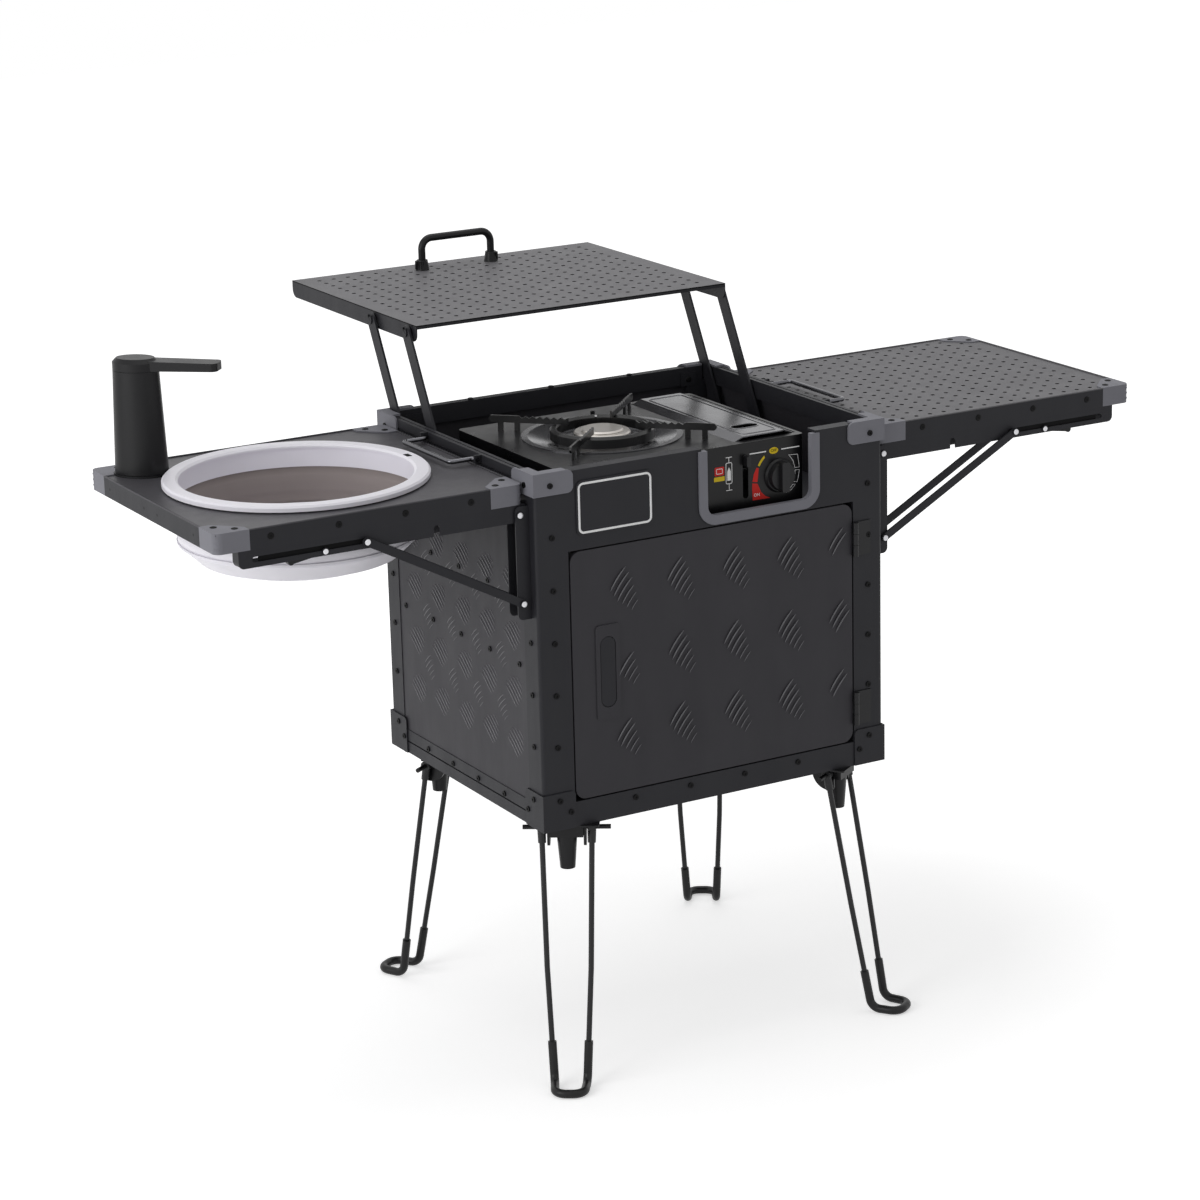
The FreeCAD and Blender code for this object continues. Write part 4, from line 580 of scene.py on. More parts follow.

# %% [markdown]
# The lid and the right table are thin sheets with a regular grid of round holes right through. The tree
# draws the sheet's outline and the grid of circles as curves, fills what lies between them, and gives
# the result its thickness. That cuts every hole cleanly, with no boolean. The walls of the holes get a
# near-black finish, as painted shade inside the holes.

# %% Perforated sheets
def make_perforated_tree():
    """A flat sheet with a grid of round holes, whose walls get a second finish as painted shade."""
    tree, given, out = geometry_tree("Perforated sheet", [
        ("Width", REAL), ("Depth", REAL), ("Thickness", REAL), ("Holes across", WHOLE),
        ("Holes deep", WHOLE), ("Span across", REAL), ("Span deep", REAL), ("Hole radius", REAL),
        ("Place", TRIPLE), ("Finish", FINISH), ("Hole shade finish", FINISH)])
    outline = add(tree, "GeometryNodeCurvePrimitiveQuadrilateral")
    grid = add(tree, "GeometryNodeMeshGrid")
    hole = add(tree, "GeometryNodeCurvePrimitiveCircle", Resolution=14)
    holes = add(tree, "GeometryNodeInstanceOnPoints")
    drawn = add(tree, "GeometryNodeRealizeInstances")
    both = add(tree, "GeometryNodeJoinGeometry")
    filled = add(tree, "GeometryNodeFillCurve")
    under = add(tree, "GeometryNodeFlipFaces")
    raised = add(tree, "GeometryNodeExtrudeMesh", Individual=False)
    noted = add(tree, "GeometryNodeStoreNamedAttribute", data_type="BOOLEAN", domain="FACE",
                Name="wall")
    closed = add(tree, "GeometryNodeJoinGeometry")
    merged = add(tree, "GeometryNodeMergeByDistance", Distance=0.00001)
    # The hole walls take a near-black finish: painted shade inside the holes.
    wall = add(tree, "GeometryNodeInputNamedAttribute", data_type="BOOLEAN", Name="wall")
    hole_shade = add(tree, "GeometryNodeSetMaterial")
    placed = add(tree, "GeometryNodeTransform")
    join(tree, given, "Width", outline, "Width", given, "Depth", outline, "Height",
         given, "Span across", grid, "Size X", given, "Span deep", grid, "Size Y",
         given, "Holes across", grid, "Vertices X", given, "Holes deep", grid, "Vertices Y",
         given, "Hole radius", hole, "Radius", grid, "Mesh", holes, "Points",
         hole, "Curve", holes, "Instance", holes, "Instances", drawn, "Geometry",
         drawn, "Geometry", both, "Geometry", outline, "Curve", both, "Geometry",
         both, "Geometry", filled, "Curve", filled, "Mesh", raised, "Mesh",
         given, "Thickness", raised, "Offset Scale", filled, "Mesh", under, "Mesh",
         raised, "Mesh", noted, "Geometry", raised, "Side", noted, "Value",
         noted, "Geometry", closed, "Geometry", under, "Mesh", closed, "Geometry",
         closed, "Geometry", merged, "Geometry", merged, "Geometry", placed, "Geometry",
         given, "Place", placed, "Translation")
    dressed = close_tree(tree, given, out, placed, "Geometry")
    join(tree, dressed, "Geometry", hole_shade, "Geometry", wall, "Attribute", hole_shade, "Selection",
         given, "Hole shade finish", hole_shade, "Material", hole_shade, "Geometry", out, "Piece")
    return tree


PERFORATED = make_perforated_tree()
HOLE_RADIUS = 3.0 * MM


def perforate(name, node, across, deep, pitch):
    """A perforated sheet of the CAD sheet's own size and place."""
    low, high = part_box(node)
    size = high - low
    place = Vector(((low.x + high.x) / 2, (low.y + high.y) / 2, low.z))
    # The holes' walls take the near-black finish: painted shade inside the holes.
    return grow(name, PERFORATED, bpy.data.meshes.new(name + "_source"), **{
        "Width": size.x, "Depth": size.y, "Thickness": size.z, "Holes across": across,
        "Holes deep": deep, "Span across": (across - 1) * pitch * MM,
        "Span deep": (deep - 1) * pitch * MM, "Hole radius": HOLE_RADIUS,
        "Place": place, "Finish": grey_sheet, "Hole shade finish": shade_and_print_black})


seat(perforate("lid_sheet", "lid_panel", 20, 16, 21.2), "lid", "light_coat", "lid_panel")
seat(perforate("right_deck_sheet", "right_table_deck", 17, 17, 21.3), "right_table",
     "light_coat", "right_table_deck")

# %% [markdown]
# The side panels and the door are tread plate: groups of thin curved strokes pressed up from the sheet.
# A short curved line with tapering radius gives one stroke, flattened to a low ridge. The strokes sit
# on points that hold where each one goes and how it is turned. They are lighter grey than the sheet,
# a painted highlight where light catches the ridges.

# %% Tread strokes
def make_stroke_tree():
    """Low curved ridges, one on each mark, tapering at both ends."""
    tree, given, out = geometry_tree("Tread strokes", [
        ("Half length", REAL), ("Bow", REAL), ("Half width", REAL), ("Flatness", REAL),
        ("Finish", FINISH)])
    back = add(tree, "ShaderNodeMath", operation="MULTIPLY")
    back.inputs[1].default_value = -1
    start, middle_point, end = [add(tree, "ShaderNodeCombineXYZ") for _ in range(3)]
    line = add(tree, "GeometryNodeCurveQuadraticBezier", Resolution=7)
    along = add(tree, "GeometryNodeSplineParameter")
    rest = add(tree, "ShaderNodeMath", operation="SUBTRACT")
    rest.inputs[0].default_value = 1
    hump = add(tree, "ShaderNodeMath", operation="MULTIPLY")
    root = add(tree, "ShaderNodeMath", operation="POWER")
    root.inputs[1].default_value = 0.5
    taper = add(tree, "ShaderNodeMath", operation="MULTIPLY")
    ring = add(tree, "GeometryNodeCurvePrimitiveCircle", Resolution=6, Radius=2.0)
    ridge = add(tree, "GeometryNodeCurveToMesh")
    flat = add(tree, "ShaderNodeCombineXYZ", X=1.0, Y=1.0)
    low = add(tree, "GeometryNodeTransform")
    size = add(tree, "GeometryNodeInputNamedAttribute", data_type="FLOAT", Name="size")
    spread = stand_on_marks(tree, given, low)
    join(tree, size, "Attribute", spread, "Scale", given, "Half length", back, 0,
         back, 0, start, "X", given, "Bow", middle_point, "Y",
         given, "Half length", end, "X", start, 0, line, "Start", middle_point, 0, line, "Middle",
         end, 0, line, "End", along, "Factor", rest, 1, along, "Factor", hump, 0, rest, 0, hump, 1,
         hump, 0, root, 0, root, 0, taper, 0, given, "Half width", taper, 1,
         line, "Curve", ridge, "Curve", ring, "Curve", ridge, "Profile Curve",
         taper, 0, ridge, "Scale", given, "Flatness", flat, "Z", flat, 0, low, "Scale",
         ridge, "Mesh", low, "Geometry")
    close_tree(tree, given, out, spread, "Instances")
    return tree


STROKES = make_stroke_tree()
print("tree", STROKES.name)

# %% [markdown]
# On the real plate a roller leaves groups of strokes side by side, longest in the middle, and each group
# leans the other way from its neighbour. A group is made from its centre, its lean and a list of sizes,
# so the sides, the back and the door share the same few lines.

# %% Groups of strokes
def stroke_places(centre, lean, spacing, slide, sizes):
    """Across and up positions, lean and size of a group's strokes, from its upper end down."""
    turned = Matrix.Rotation(lean, 2)
    step = turned @ Vector((slide, spacing))
    return [(Vector(centre) + step * ((len(sizes) - 1) / 2 - i), lean, size)
            for i, size in enumerate(sizes)]


def stroke_marks(name, strokes, plane, facing):
    """Marks for strokes on an upright plate that faces outward."""
    upright = Vector(facing).to_track_quat("Z", "Y").to_matrix()
    mesh = bpy.data.meshes.new(name)
    mesh.from_pydata([plane(place.x, place.y) for place, lean, size in strokes], [], [])
    mesh.attributes.new("turn", "FLOAT_VECTOR", "POINT")
    mesh.attributes.new("size", "FLOAT", "POINT")
    for i, (place, lean, size) in enumerate(strokes):
        turned = (upright @ Matrix.Rotation(lean, 3, "Z")).to_euler()
        mesh.attributes["turn"].data[i].vector = turned
        mesh.attributes["size"].data[i].value = size
    return mesh


def tread(name, body, source, half_length):
    """One plate's strokes as a piece, lighter than the sheet as painted highlight on the ridges."""
    piece = grow(name, STROKES, source, **{
        "Half length": half_length * MM, "Bow": 3.2 * MM, "Half width": 1.1 * MM, "Flatness": 0.8,
        "Finish": tread_ridge_highlight})
    return seat(piece, body, "black_coat")


print("groups ready")

# %% [markdown]
# The two sides show rows of groups that lean back, with fainter ones that lean forward between them. The
# back has the same plate. All stand on the faces of the CAD panels, whose places come from the frame.

# %% Strokes of sides and back
SIDE_ROWS = (102, 168, 240, 311)
SIDE_COLUMNS = (67, 132, 197, 265, 330)
BACK_COLUMNS = (87, 152, 217, 283, 348, 413)
BACK_FACE = local(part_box("back_panel")[1]).y
LEFT_FACE, RIGHT_FACE = [local(corner).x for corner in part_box("side_panels")]
SIDE_STROKE = 19.5
SIDE_LEAN = math.radians(40)
BACKWARD_SIZES = (0.5, 0.75, 0.95, 1.0, 1.0, 0.9)
FORWARD_SIZES = (0.6, 0.7, 0.6, 0.5, 0.4)


def plate_strokes(outward, columns):
    """Groups that lean back on the grid, and fainter ones that lean forward between them."""
    strokes = []
    for z in SIDE_ROWS:
        for place in columns:
            strokes += stroke_places((outward * place, z), -SIDE_LEAN, 6.4, 0.6, BACKWARD_SIZES)
    for z, z_next in zip(SIDE_ROWS, SIDE_ROWS[1:]):
        for place, place_next in zip(columns, columns[1:]):
            between = (outward * (place + place_next) / 2, (z + z_next) / 2)
            strokes += stroke_places(between, SIDE_LEAN, 6.4, 1.0, FORWARD_SIZES)
    return strokes


for side, outward, columns, plane, facing in (
        ("left", -1, SIDE_COLUMNS, lambda u, z: at(LEFT_FACE, -u, z), (-1, 0, 0)),
        ("right", 1, SIDE_COLUMNS, lambda u, z: at(RIGHT_FACE, u, z), (1, 0, 0)),
        ("back", -1, BACK_COLUMNS, lambda u, z: at(-u, BACK_FACE, z), (0, 1, 0))):
    name = side + "_tread"
    tread(name, "box", stroke_marks(name, plate_strokes(outward, columns), plane, facing),
          SIDE_STROKE)

# %% [markdown]
# The door's groups all lean the same way and run from long to short. Strokes that would lie under the
# pull, the hinges or the pressed edge are left off, as the sheet is flat there.

# %% Strokes of the door
door_low, door_high = [local(corner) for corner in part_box("door_panel")]
DOOR_STROKE, DOOR_LEAN = 18.5, math.radians(52)
DOOR_SIZES = (1.0, 1.0, 0.97, 0.78, 0.62, 0.45)


PULL_ACROSS, PULL_UP = (64, 117), (117, 266)
HINGE_FROM, HINGES_UP = 436, ((66, 134), (291, 359))


def within(value, span):
    """Whether a value lies between the two ends of a span."""
    return span[0] < value < span[1]


def clear_of_fittings(x, z):
    """Whether a stroke on the door keeps clear of its pull, hinges and edges."""
    by_pull = within(x, PULL_ACROSS) and within(z, PULL_UP)
    by_hinge = x > HINGE_FROM and any(within(z, span) for span in HINGES_UP)
    return not by_pull and not by_hinge and within(x, (door_low.x + 14, door_high.x - 12))


door_strokes = []
for x in (123, 204, 284, 364, 441):
    for z in (289, 194, 102):
        door_strokes += [stroke for stroke in stroke_places((x, z), DOOR_LEAN, 8.1, 2.9, DOOR_SIZES)
                         if clear_of_fittings(*stroke[0])]
tread("door_tread", "door", stroke_marks(
    "door_tread", door_strokes, lambda x, z: at(x, door_low.y, z), (0, -1, 0)), DOOR_STROKE)
print("door", [round(v, 1) for v in door_low], [round(v, 1) for v in door_high])

# %% [markdown]
# Small dark screws hold the table edges and corners, and bright rivets hold the folding brackets. Both
# are round domed heads: a short upright line, swept with a radius that falls off towards its top. A
# screw also has a small near-black disc in its middle, painted shade in its socket.

# %% Round heads
def make_head_tree():
    """Domed heads on marks."""
    tree, given, out = geometry_tree("Round heads", [
        ("Head radius", REAL), ("Head height", REAL), ("Finish", FINISH)])
    tip = add(tree, "ShaderNodeCombineXYZ")
    line = add(tree, "GeometryNodeCurvePrimitiveLine")
    cut = add(tree, "GeometryNodeResampleCurve", Count=6)
    along = add(tree, "GeometryNodeSplineParameter")
    square = add(tree, "ShaderNodeMath", operation="POWER")
    square.inputs[1].default_value = 3.0
    fall = add(tree, "ShaderNodeMath", operation="MULTIPLY")
    fall.inputs[1].default_value = 0.45
    rest = add(tree, "ShaderNodeMath", operation="SUBTRACT")
    rest.inputs[0].default_value = 1
    size = add(tree, "ShaderNodeMath", operation="MULTIPLY")
    ring = add(tree, "GeometryNodeCurvePrimitiveCircle", Resolution=18, Radius=1.0)
    head = add(tree, "GeometryNodeCurveToMesh")
    head.inputs["Fill Caps"].default_value = True
    spread = stand_on_marks(tree, given, head)
    join(tree, given, "Head height", tip, "Z", tip, 0, line, "End", line, "Curve", cut, "Curve",
         along, "Factor", square, 0, square, 0, fall, 0, fall, 0, rest, 1, rest, 0, size, 0,
         given, "Head radius", size, 1, cut, "Curve", head, "Curve",
         ring, "Curve", head, "Profile Curve", size, 0, head, "Scale")
    close_tree(tree, given, out, spread, "Instances")
    return tree


HEADS = make_head_tree()


def heads(name, body, slot, places, radius, height, finish_of):
    """Round heads on one body."""
    piece = grow(name, HEADS, marks(name, places), **{
        "Head radius": radius * MM, "Head height": height * MM, "Finish": finish_of})
    return seat(piece, body, slot)


def socketed(name, body, places, radius=4.3):
    """Dark screw heads, each with a small near-black disc on top as painted shade in its socket."""
    heads(name, body, "screw_steel", places, radius, 1.1, screw_black)
    # Near-black discs on the heads: painted shade in the sockets.
    raised = [(tuple(Vector(place) + Vector(facing) * 1.05), facing) for place, facing in places]
    heads(name + "_sockets", body, "black_plastic", raised, radius * 0.4, 0.12, shade_and_print_black)


EDGE_Z = 428.0
TABLE_FRONT, TABLE_BACK = 18.5, 395.5
TABLE_OUT, TABLE_IN, TABLE_TOP = -407.0, -5.0, 440.0
FRONT, BACK, UP = (0, -1, 0), (0, 1, 0), (0, 0, 1)


def swap_side(places):
    """The same marks on the right table."""
    return [((BOX_W - x, y, z), (-a, b, c)) for (x, y, z), (a, b, c) in places]


def clear_of_faucet(mark):
    """Whether a screw isn't where the faucet's socket stands on the left table."""
    (x, y, z), facing = mark
    return x > FAUCET_EDGE_X or y < FAUCET_EDGE_Y


FAUCET_EDGE_X, FAUCET_EDGE_Y = -390, 330
ALONG, ACROSS = 31, 12.5
edge_screws = []
for x in (-336.5, -249.5, -162.5, -75.5):
    edge_screws += [((x, TABLE_FRONT, EDGE_Z), FRONT), ((x, TABLE_BACK, EDGE_Z), BACK)]
for x, inward in ((TABLE_OUT, 1), (TABLE_IN, -1)):
    for y, towards in ((TABLE_FRONT, 1), (TABLE_BACK, -1)):
        edge_screws += [((x + inward * ALONG, y + towards * ACROSS, TABLE_TOP), UP),
                        ((x + inward * ACROSS, y + towards * ALONG, TABLE_TOP), UP)]
socketed("left_table_screws", "left_table", list(filter(clear_of_faucet, edge_screws)))
socketed("right_table_screws", "right_table", swap_side(edge_screws))
END_FACE, END_Z, END_RADIUS, END_HEIGHT = TABLE_OUT + 0.98, 426.5, 3.4, 1.0
end_screws = [((END_FACE, y, END_Z), (-1, 0, 0)) for y in (80, 187, 227, 334)]
for side, places in (("left", end_screws), ("right", swap_side(end_screws))):
    heads(side + "_end_screws", side + "_table", "screw_steel", places, END_RADIUS, END_HEIGHT,
          screw_black)

# %% [markdown]
# Bright rivets are the pivots of the folding brackets: at the fold, at the strut's foot, at its head in
# the slotted arm and on the release lever. They are the same round heads, lower and in bright metal. Each
# rides on the bar that it is riveted to.

# %% Bracket rivets
FOLD_X, FOLD_Z, FOOT_Z = -12.5, 403.0, 293.0
RIVET, LEVER_RIVET, RIVET_HEIGHT = 3.7, 3.4, 0.8


def both_brackets(x, y, z):
    """A rivet on the front bracket and its twin on the rear one."""
    return [((x, y, z), FRONT), ((x, BOX_D - y, z), BACK)]


box_rivets = both_brackets(FOLD_X, 13.5, FOLD_Z) + both_brackets(FOLD_X, 10.0, FOOT_Z)
strut_rivets = both_brackets(-217.0, 10.5, FOLD_Z)
lever_rivets = both_brackets(-268.5, 17.0, 398.5)
heads("bracket_rivets", "box", "bright_steel", box_rivets + swap_side(box_rivets),
      RIVET, RIVET_HEIGHT, bright_rivet)
for side, turned in (("left", lambda rivets: rivets), ("right", swap_side)):
    heads(side + "_strut_rivets", side + "_struts", "bright_steel", turned(strut_rivets), RIVET,
          RIVET_HEIGHT, bright_rivet)
    heads(side + "_lever_rivets", side + "_table", "bright_steel", turned(lever_rivets),
          LEVER_RIVET, RIVET_HEIGHT, bright_rivet)

# %% [markdown]
# The grey table corners have three fine ribs on their rounded edge, and the two collars of the lid's
# handle are ribbed all round for grip. A rib is a small bar on a mark, so one tree serves both.

# %% Ribs
def make_rib_tree():
    """Small bars on marks."""
    tree, given, out = geometry_tree("Ribs", [("Size", TRIPLE), ("Finish", FINISH)])
    bar = add(tree, "GeometryNodeMeshCube")
    spread = stand_on_marks(tree, given, bar)
    join(tree, given, "Size", bar, "Size")
    close_tree(tree, given, out, spread, "Instances")
    return tree


RIBS = make_rib_tree()
CORNER_ROUND = 10.0
RIB_OUT = 0.45
corner_ribs = []
for x, inward in ((TABLE_OUT, 1), (TABLE_IN, -1)):
    for y, towards in ((TABLE_FRONT, 1), (TABLE_BACK, -1)):
        for z in (420.5, 427.5, 434.5):
            for degrees in (35, 55):
                turned = math.radians(degrees)
                away = Vector((-inward * math.sin(turned), -towards * math.cos(turned), 0))
                middle_of_round = Vector((x + inward * CORNER_ROUND, y + towards * CORNER_ROUND, z))
                corner_ribs.append((tuple(middle_of_round + away * CORNER_ROUND), tuple(away)))
for side, turned in (("left", lambda ribs: ribs), ("right", swap_side)):
    seat(grow(side + "_corner_ribs", RIBS, marks(side + "_corner_ribs", turned(corner_ribs)),
              **{"Size": Vector((3.6, 1.6, 2 * RIB_OUT)) * MM, "Finish": grey_plastic}),
         side + "_table", "grey_plastic")

handle_low, handle_high = [local(corner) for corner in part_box("lid_handle")]
COLLAR_RADIUS, COLLAR_HEIGHT = 7.5, 14.0
collar_ribs = []
for x in (handle_low.x + COLLAR_RADIUS, handle_high.x - COLLAR_RADIUS):
    for i in range(16):
        turned = math.tau * i / 16
        away = Vector((math.cos(turned), math.sin(turned), 0))
        middle_of_collar = Vector((x, (handle_low.y + handle_high.y) / 2,
                                   handle_low.z + COLLAR_HEIGHT / 2))
        collar_ribs.append((tuple(middle_of_collar + away * COLLAR_RADIUS), tuple(away)))
seat(grow("collar_ribs", RIBS, marks("collar_ribs", collar_ribs),
          **{"Size": Vector((1.3, COLLAR_HEIGHT - 3, 1.4)) * MM, "Finish": satin_black}),
     "lid", "black_coat")
print("handle", [round(v, 1) for v in handle_low], [round(v, 1) for v in handle_high])

# %% [markdown]
# Thin painted lines frame the bare plate and mark the stove's dial. A line is an edge path drawn on the
# plate's own plane, swept with a small ring and pressed almost flat.

# %% Painted lines
def make_line_tree():
    """Lines along the edges of a drawing, pressed flat by a scale."""
    tree, given, out = geometry_tree("Painted lines", [
        ("Half width", REAL), ("Flatness", TRIPLE), ("Place", TRIPLE), ("Finish", FINISH)])
    path = add(tree, "GeometryNodeMeshToCurve")
    ring = add(tree, "GeometryNodeCurvePrimitiveCircle", Resolution=8)
    line = add(tree, "GeometryNodeCurveToMesh")
    line.inputs["Fill Caps"].default_value = True
    placed = add(tree, "GeometryNodeTransform")
    join(tree, given, "Flatness", placed, "Scale", given, "Marks", path, "Mesh",
         path, "Curve", line, "Curve",
         given, "Half width", ring, "Radius", ring, "Curve", line, "Profile Curve",
         line, "Mesh", placed, "Geometry", given, "Place", placed, "Translation")
    close_tree(tree, given, out, placed, "Geometry")
    return tree


LINES = make_line_tree()


def drawing(name, paths):
    """Paths of (x, z) points in millimetres; each is (points, closed)."""
    points, edges = [], []
    for path, closed in paths:
        first = len(points)
        points += [(at(x, 0, z).x, 0, at(x, 0, z).z) for x, z in path]
        edges += [(first + i, first + i + 1) for i in range(len(path) - 1)]
        if closed:
            edges.append((len(points) - 1, first))
    mesh = bpy.data.meshes.new(name)
    mesh.from_pydata(points, edges, [])
    return mesh


def rounded(left, right, low, high, radius, steps=6):
    """A rectangle with round corners, as (x, z) points."""
    corners = ((right - radius, high - radius, 0), (left + radius, high - radius, 90),
               (left + radius, low + radius, 180), (right - radius, low + radius, 270))
    points = []
    for x, z, start in corners:
        for i in range(steps + 1):
            turned = math.radians(start + 90 * i / steps)
            points.append((x + radius * math.cos(turned), z + radius * math.sin(turned)))
    return points


def arc(x, z, radius, start, end, steps=10):
    """Points on part of a circle, by degrees."""
    turns = [math.radians(start + (end - start) * i / steps) for i in range(steps + 1)]
    return [(x + radius * math.cos(t), z + radius * math.sin(t)) for t in turns]


def painted(name, paths, y, width, finish_of, body="stove"):
    """Painted lines on an upright front face at a depth y."""
    piece = grow(name, LINES, drawing(name, paths), **{
        "Half width": width / 2 * MM, "Flatness": Vector((1, 0.2, 1)),
        "Place": Vector((0, at(0, y, 0).y, 0)), "Finish": finish_of})
    return seat(piece, body, "white_plastic")


PLATE_Y = -1.5
painted("plate_outline", [(rounded(60.0, 160.0, 373.0, 434.0, 6.0), True)], PLATE_Y, 2.8,
        mark_white, "box")

# %% [markdown]
# Paint on the stove comes in two more kinds: filled patches, and the short words that a dial has. A patch
# is a flat outline with a hair of thickness, and a word is a text object turned into a mesh.

# %% Patches and words
STOVE_FRONT = 20.0
KNOB_X, KNOB_Z = 359.4, 396.5
PATCH = 0.15


def patch(name, outline, finish_of):
    """A thin painted patch; its (x, z) outline runs the same way round as the dial's degrees."""
    count = len(outline)
    front = [at(x, STOVE_FRONT - PATCH, z) for x, z in outline]
    rear = [at(x, STOVE_FRONT, z) for x, z in outline]
    rim = [(i, (i + 1) % count, count + (i + 1) % count, count + i) for i in range(count)]
    mesh = bpy.data.meshes.new(name)
    faces = [tuple(range(count)), tuple(range(2 * count - 1, count - 1, -1))]
    mesh.from_pydata(front + rear, [], faces + [face[::-1] for face in rim])
    return seat(as_piece(name, mesh, finish_of), "stove", "white_plastic")


def word(name, text, x, z, height, finish_of):
    """A short generic word, standing on the stove's front."""
    data = bpy.data.curves.new(name, "FONT")
    data.body = text
    data.size = height * MM
    data.extrude = PATCH / 2 * MM
    data.align_x = "CENTER"
    data.align_y = "CENTER"
    shape = frozen(bpy.data.objects.new(name + "_text", data))
    shape.transform(Matrix.Translation(at(x, STOVE_FRONT - 2 * PATCH, z))
                    @ Matrix.Rotation(math.pi / 2, 4, "X"))
    return seat(as_piece(name, shape, finish_of), "stove", "black_plastic")


print("paint helpers ready")

# %% [markdown]
# The dial's marks are painted on the stove's front: a white rule with the yellow OFF patch, a yellow arc
# and a red wedge with ON, and three flame sizes. Beside the lever is a white double arrow with two
# plain colour patches. All are drawn in the box's own millimetres, as measured on the photo.

# %% Stove marks
painted("dial_rules", [([(315.7, 429.7), (340.0, 429.7)], False),
                       ([(362.5, 429.5), (389.0, 429.5)], False)], STOVE_FRONT, 1.5, mark_white)
OFF_X, OFF_Z, OFF_STEPS = 351.2, 429.4, 28
off_turns = [math.tau * i / OFF_STEPS for i in range(OFF_STEPS)]
patch("off_patch", [(OFF_X + 6.6 * math.cos(t), OFF_Z + 4.2 * math.sin(t)) for t in off_turns],
      mark_yellow)
word("off_word", "OFF", OFF_X, OFF_Z, 5.2, shade_and_print_black)
yellow_outer = arc(KNOB_X, KNOB_Z, 36.0, 128, 152)
patch("yellow_arc", yellow_outer + arc(KNOB_X, KNOB_Z, 33.0, 152, 130), mark_yellow)
patch("red_upper", [(329.0, 410.0), (325.8, 411.0), (321.6, 403.0), (319.4, 393.6), (326.8, 392.4)],
      mark_red)
patch("red_wedge", [(326.9, 390.4), (319.2, 391.8), (318.9, 384.0), (319.6, 369.8), (345.5, 369.4),
                    (339.0, 372.4), (332.0, 378.8)], mark_red)
word("on_word", "ON", 325.6, 376.0, 5.6, mark_white)
painted("flame_sizes", [
    ([(373.5, 420.4), (386.6, 419.6), (389.0, 402.6), (382.4, 402.8), (379.6, 412.6)], True),
    ([(382.6, 399.8), (389.0, 399.4), (387.8, 392.0), (385.4, 384.0), (380.6, 385.2), (382.4, 392.6)],
     True),
    ([(383.0, 381.4), (376.6, 375.0), (369.6, 372.3), (375.0, 377.4), (379.0, 381.6)], True)],
    STOVE_FRONT, 0.9, mark_white)
painted("arrow_frame", [(rounded(281.2, 289.8, 396.5, 423.0, 2.0), True),
                        ([(285.5, 430.0), (285.5, 423.0)], False),
                        ([(285.5, 396.5), (285.5, 389.0)], False),
                        ([(281.0, 430.0), (290.0, 430.0)], False),
                        ([(281.0, 388.0), (290.0, 388.0)], False)], STOVE_FRONT, 0.9, mark_white)
patch("arrow_up", [(283.0, 400.5), (288.0, 400.5), (288.0, 412.0), (285.5, 417.5), (283.0, 412.0)],
      mark_white)
patch("red_patch", rounded(264.6, 278.4, 408.6, 419.6, 1.5), mark_red)
painted("red_patch_frame", [(rounded(267.2, 275.8, 411.0, 417.2, 1.0), True)], STOVE_FRONT - PATCH,
        0.8, mark_white)
patch("yellow_patch", rounded(263.6, 279.0, 401.4, 407.2, 1.0), mark_yellow)

# %% [markdown]
# ## The soft band of the basin
# Under the stiff white wall hangs a soft folded band of silicone, which lets the basin be pushed flat.
# It is grey brown inside and pale outside, and its lower lip is white like the bowl. It is turned from
# a curved outline.

# %% Soft band
BASIN_X, BASIN_Y = -217.0, 203.0
band_low, band_high = [local(corner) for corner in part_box("basin_soft_wall")]
BAND_RADIUS = (band_high.x - band_low.x) / 2
BAND_SHEET, BAND_LAP = 2.4, 18.0
WHITE_FROM = 387.0
BAND_FOLD = ((2.4, 413.0), (6.0, 410.5), (7.5, 407.0), (7.7, 398.0), (7.7, 390.0), (7.6, WHITE_FROM),
             (6.6, 384.6), (6.2, 381.0), (7.2, 376.0))
BAND_FOOT = 7.7
TURNS = 96


def band_outline():
    """Outer and inner (radius, height) points: a straight lap, a fold inward, then a wall and a lip."""
    outer = [(BAND_RADIUS, band_high.z), (BAND_RADIUS, band_high.z - BAND_LAP)]
    outer += [(BAND_RADIUS - inward, z) for inward, z in BAND_FOLD]
    outer.append((BAND_RADIUS - BAND_FOOT, band_low.z))
    return outer + [(r - BAND_SHEET, z) for r, z in reversed(outer)]


def turn_outline(name, outline, finish_of, x, y):
    """A ring turned from a closed (radius, height) outline about an upright axis."""
    points, faces = [], []
    count = len(outline)
    for i in range(TURNS):
        turned = math.tau * i / TURNS
        points += [at(x + r * math.cos(turned), y + r * math.sin(turned), z) for r, z in outline]
        after = (i + 1) % TURNS
        faces += [(i * count + k, i * count + (k + 1) % count, after * count + (k + 1) % count,
                   after * count + k) for k in range(count)]
    mesh = bpy.data.meshes.new(name)
    mesh.from_pydata(points, [], faces)
    mesh.polygons.foreach_set("use_smooth", [True] * len(faces))
    return as_piece(name, mesh, finish_of)


outline = band_outline()
band = turn_outline("soft_band", outline, soft_band, BASIN_X, BASIN_Y)
band.data.materials.append(band_coat)
band.data.materials.append(white_plastic)
for i, face in enumerate(band.data.polygons):
    k = i % len(outline)
    if k < len(outline) // 2:
        face.material_index = 2 if outline[k][1] <= WHITE_FROM + 0.1 else 1
seat(band, "basin", "soft_band", "basin_soft_wall")
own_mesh(band)
print("band", round(BAND_RADIUS, 1), round(band_low.z, 1), round(band_high.z, 1))

# %% [markdown]
# On top of the basin's rim, on the side of the box, is a small overflow slot. A thin near-black patch
# that follows the rim's curve stands for it, painted shade inside the slot.

# %% Overflow mark
OVERFLOW_START, OVERFLOW_SWEEP, OVERFLOW_STEPS = -3.2, 5.0, 6
OVERFLOW_ROWS = ((146.4, 447.42), (150.0, 447.45), (153.8, 447.42))


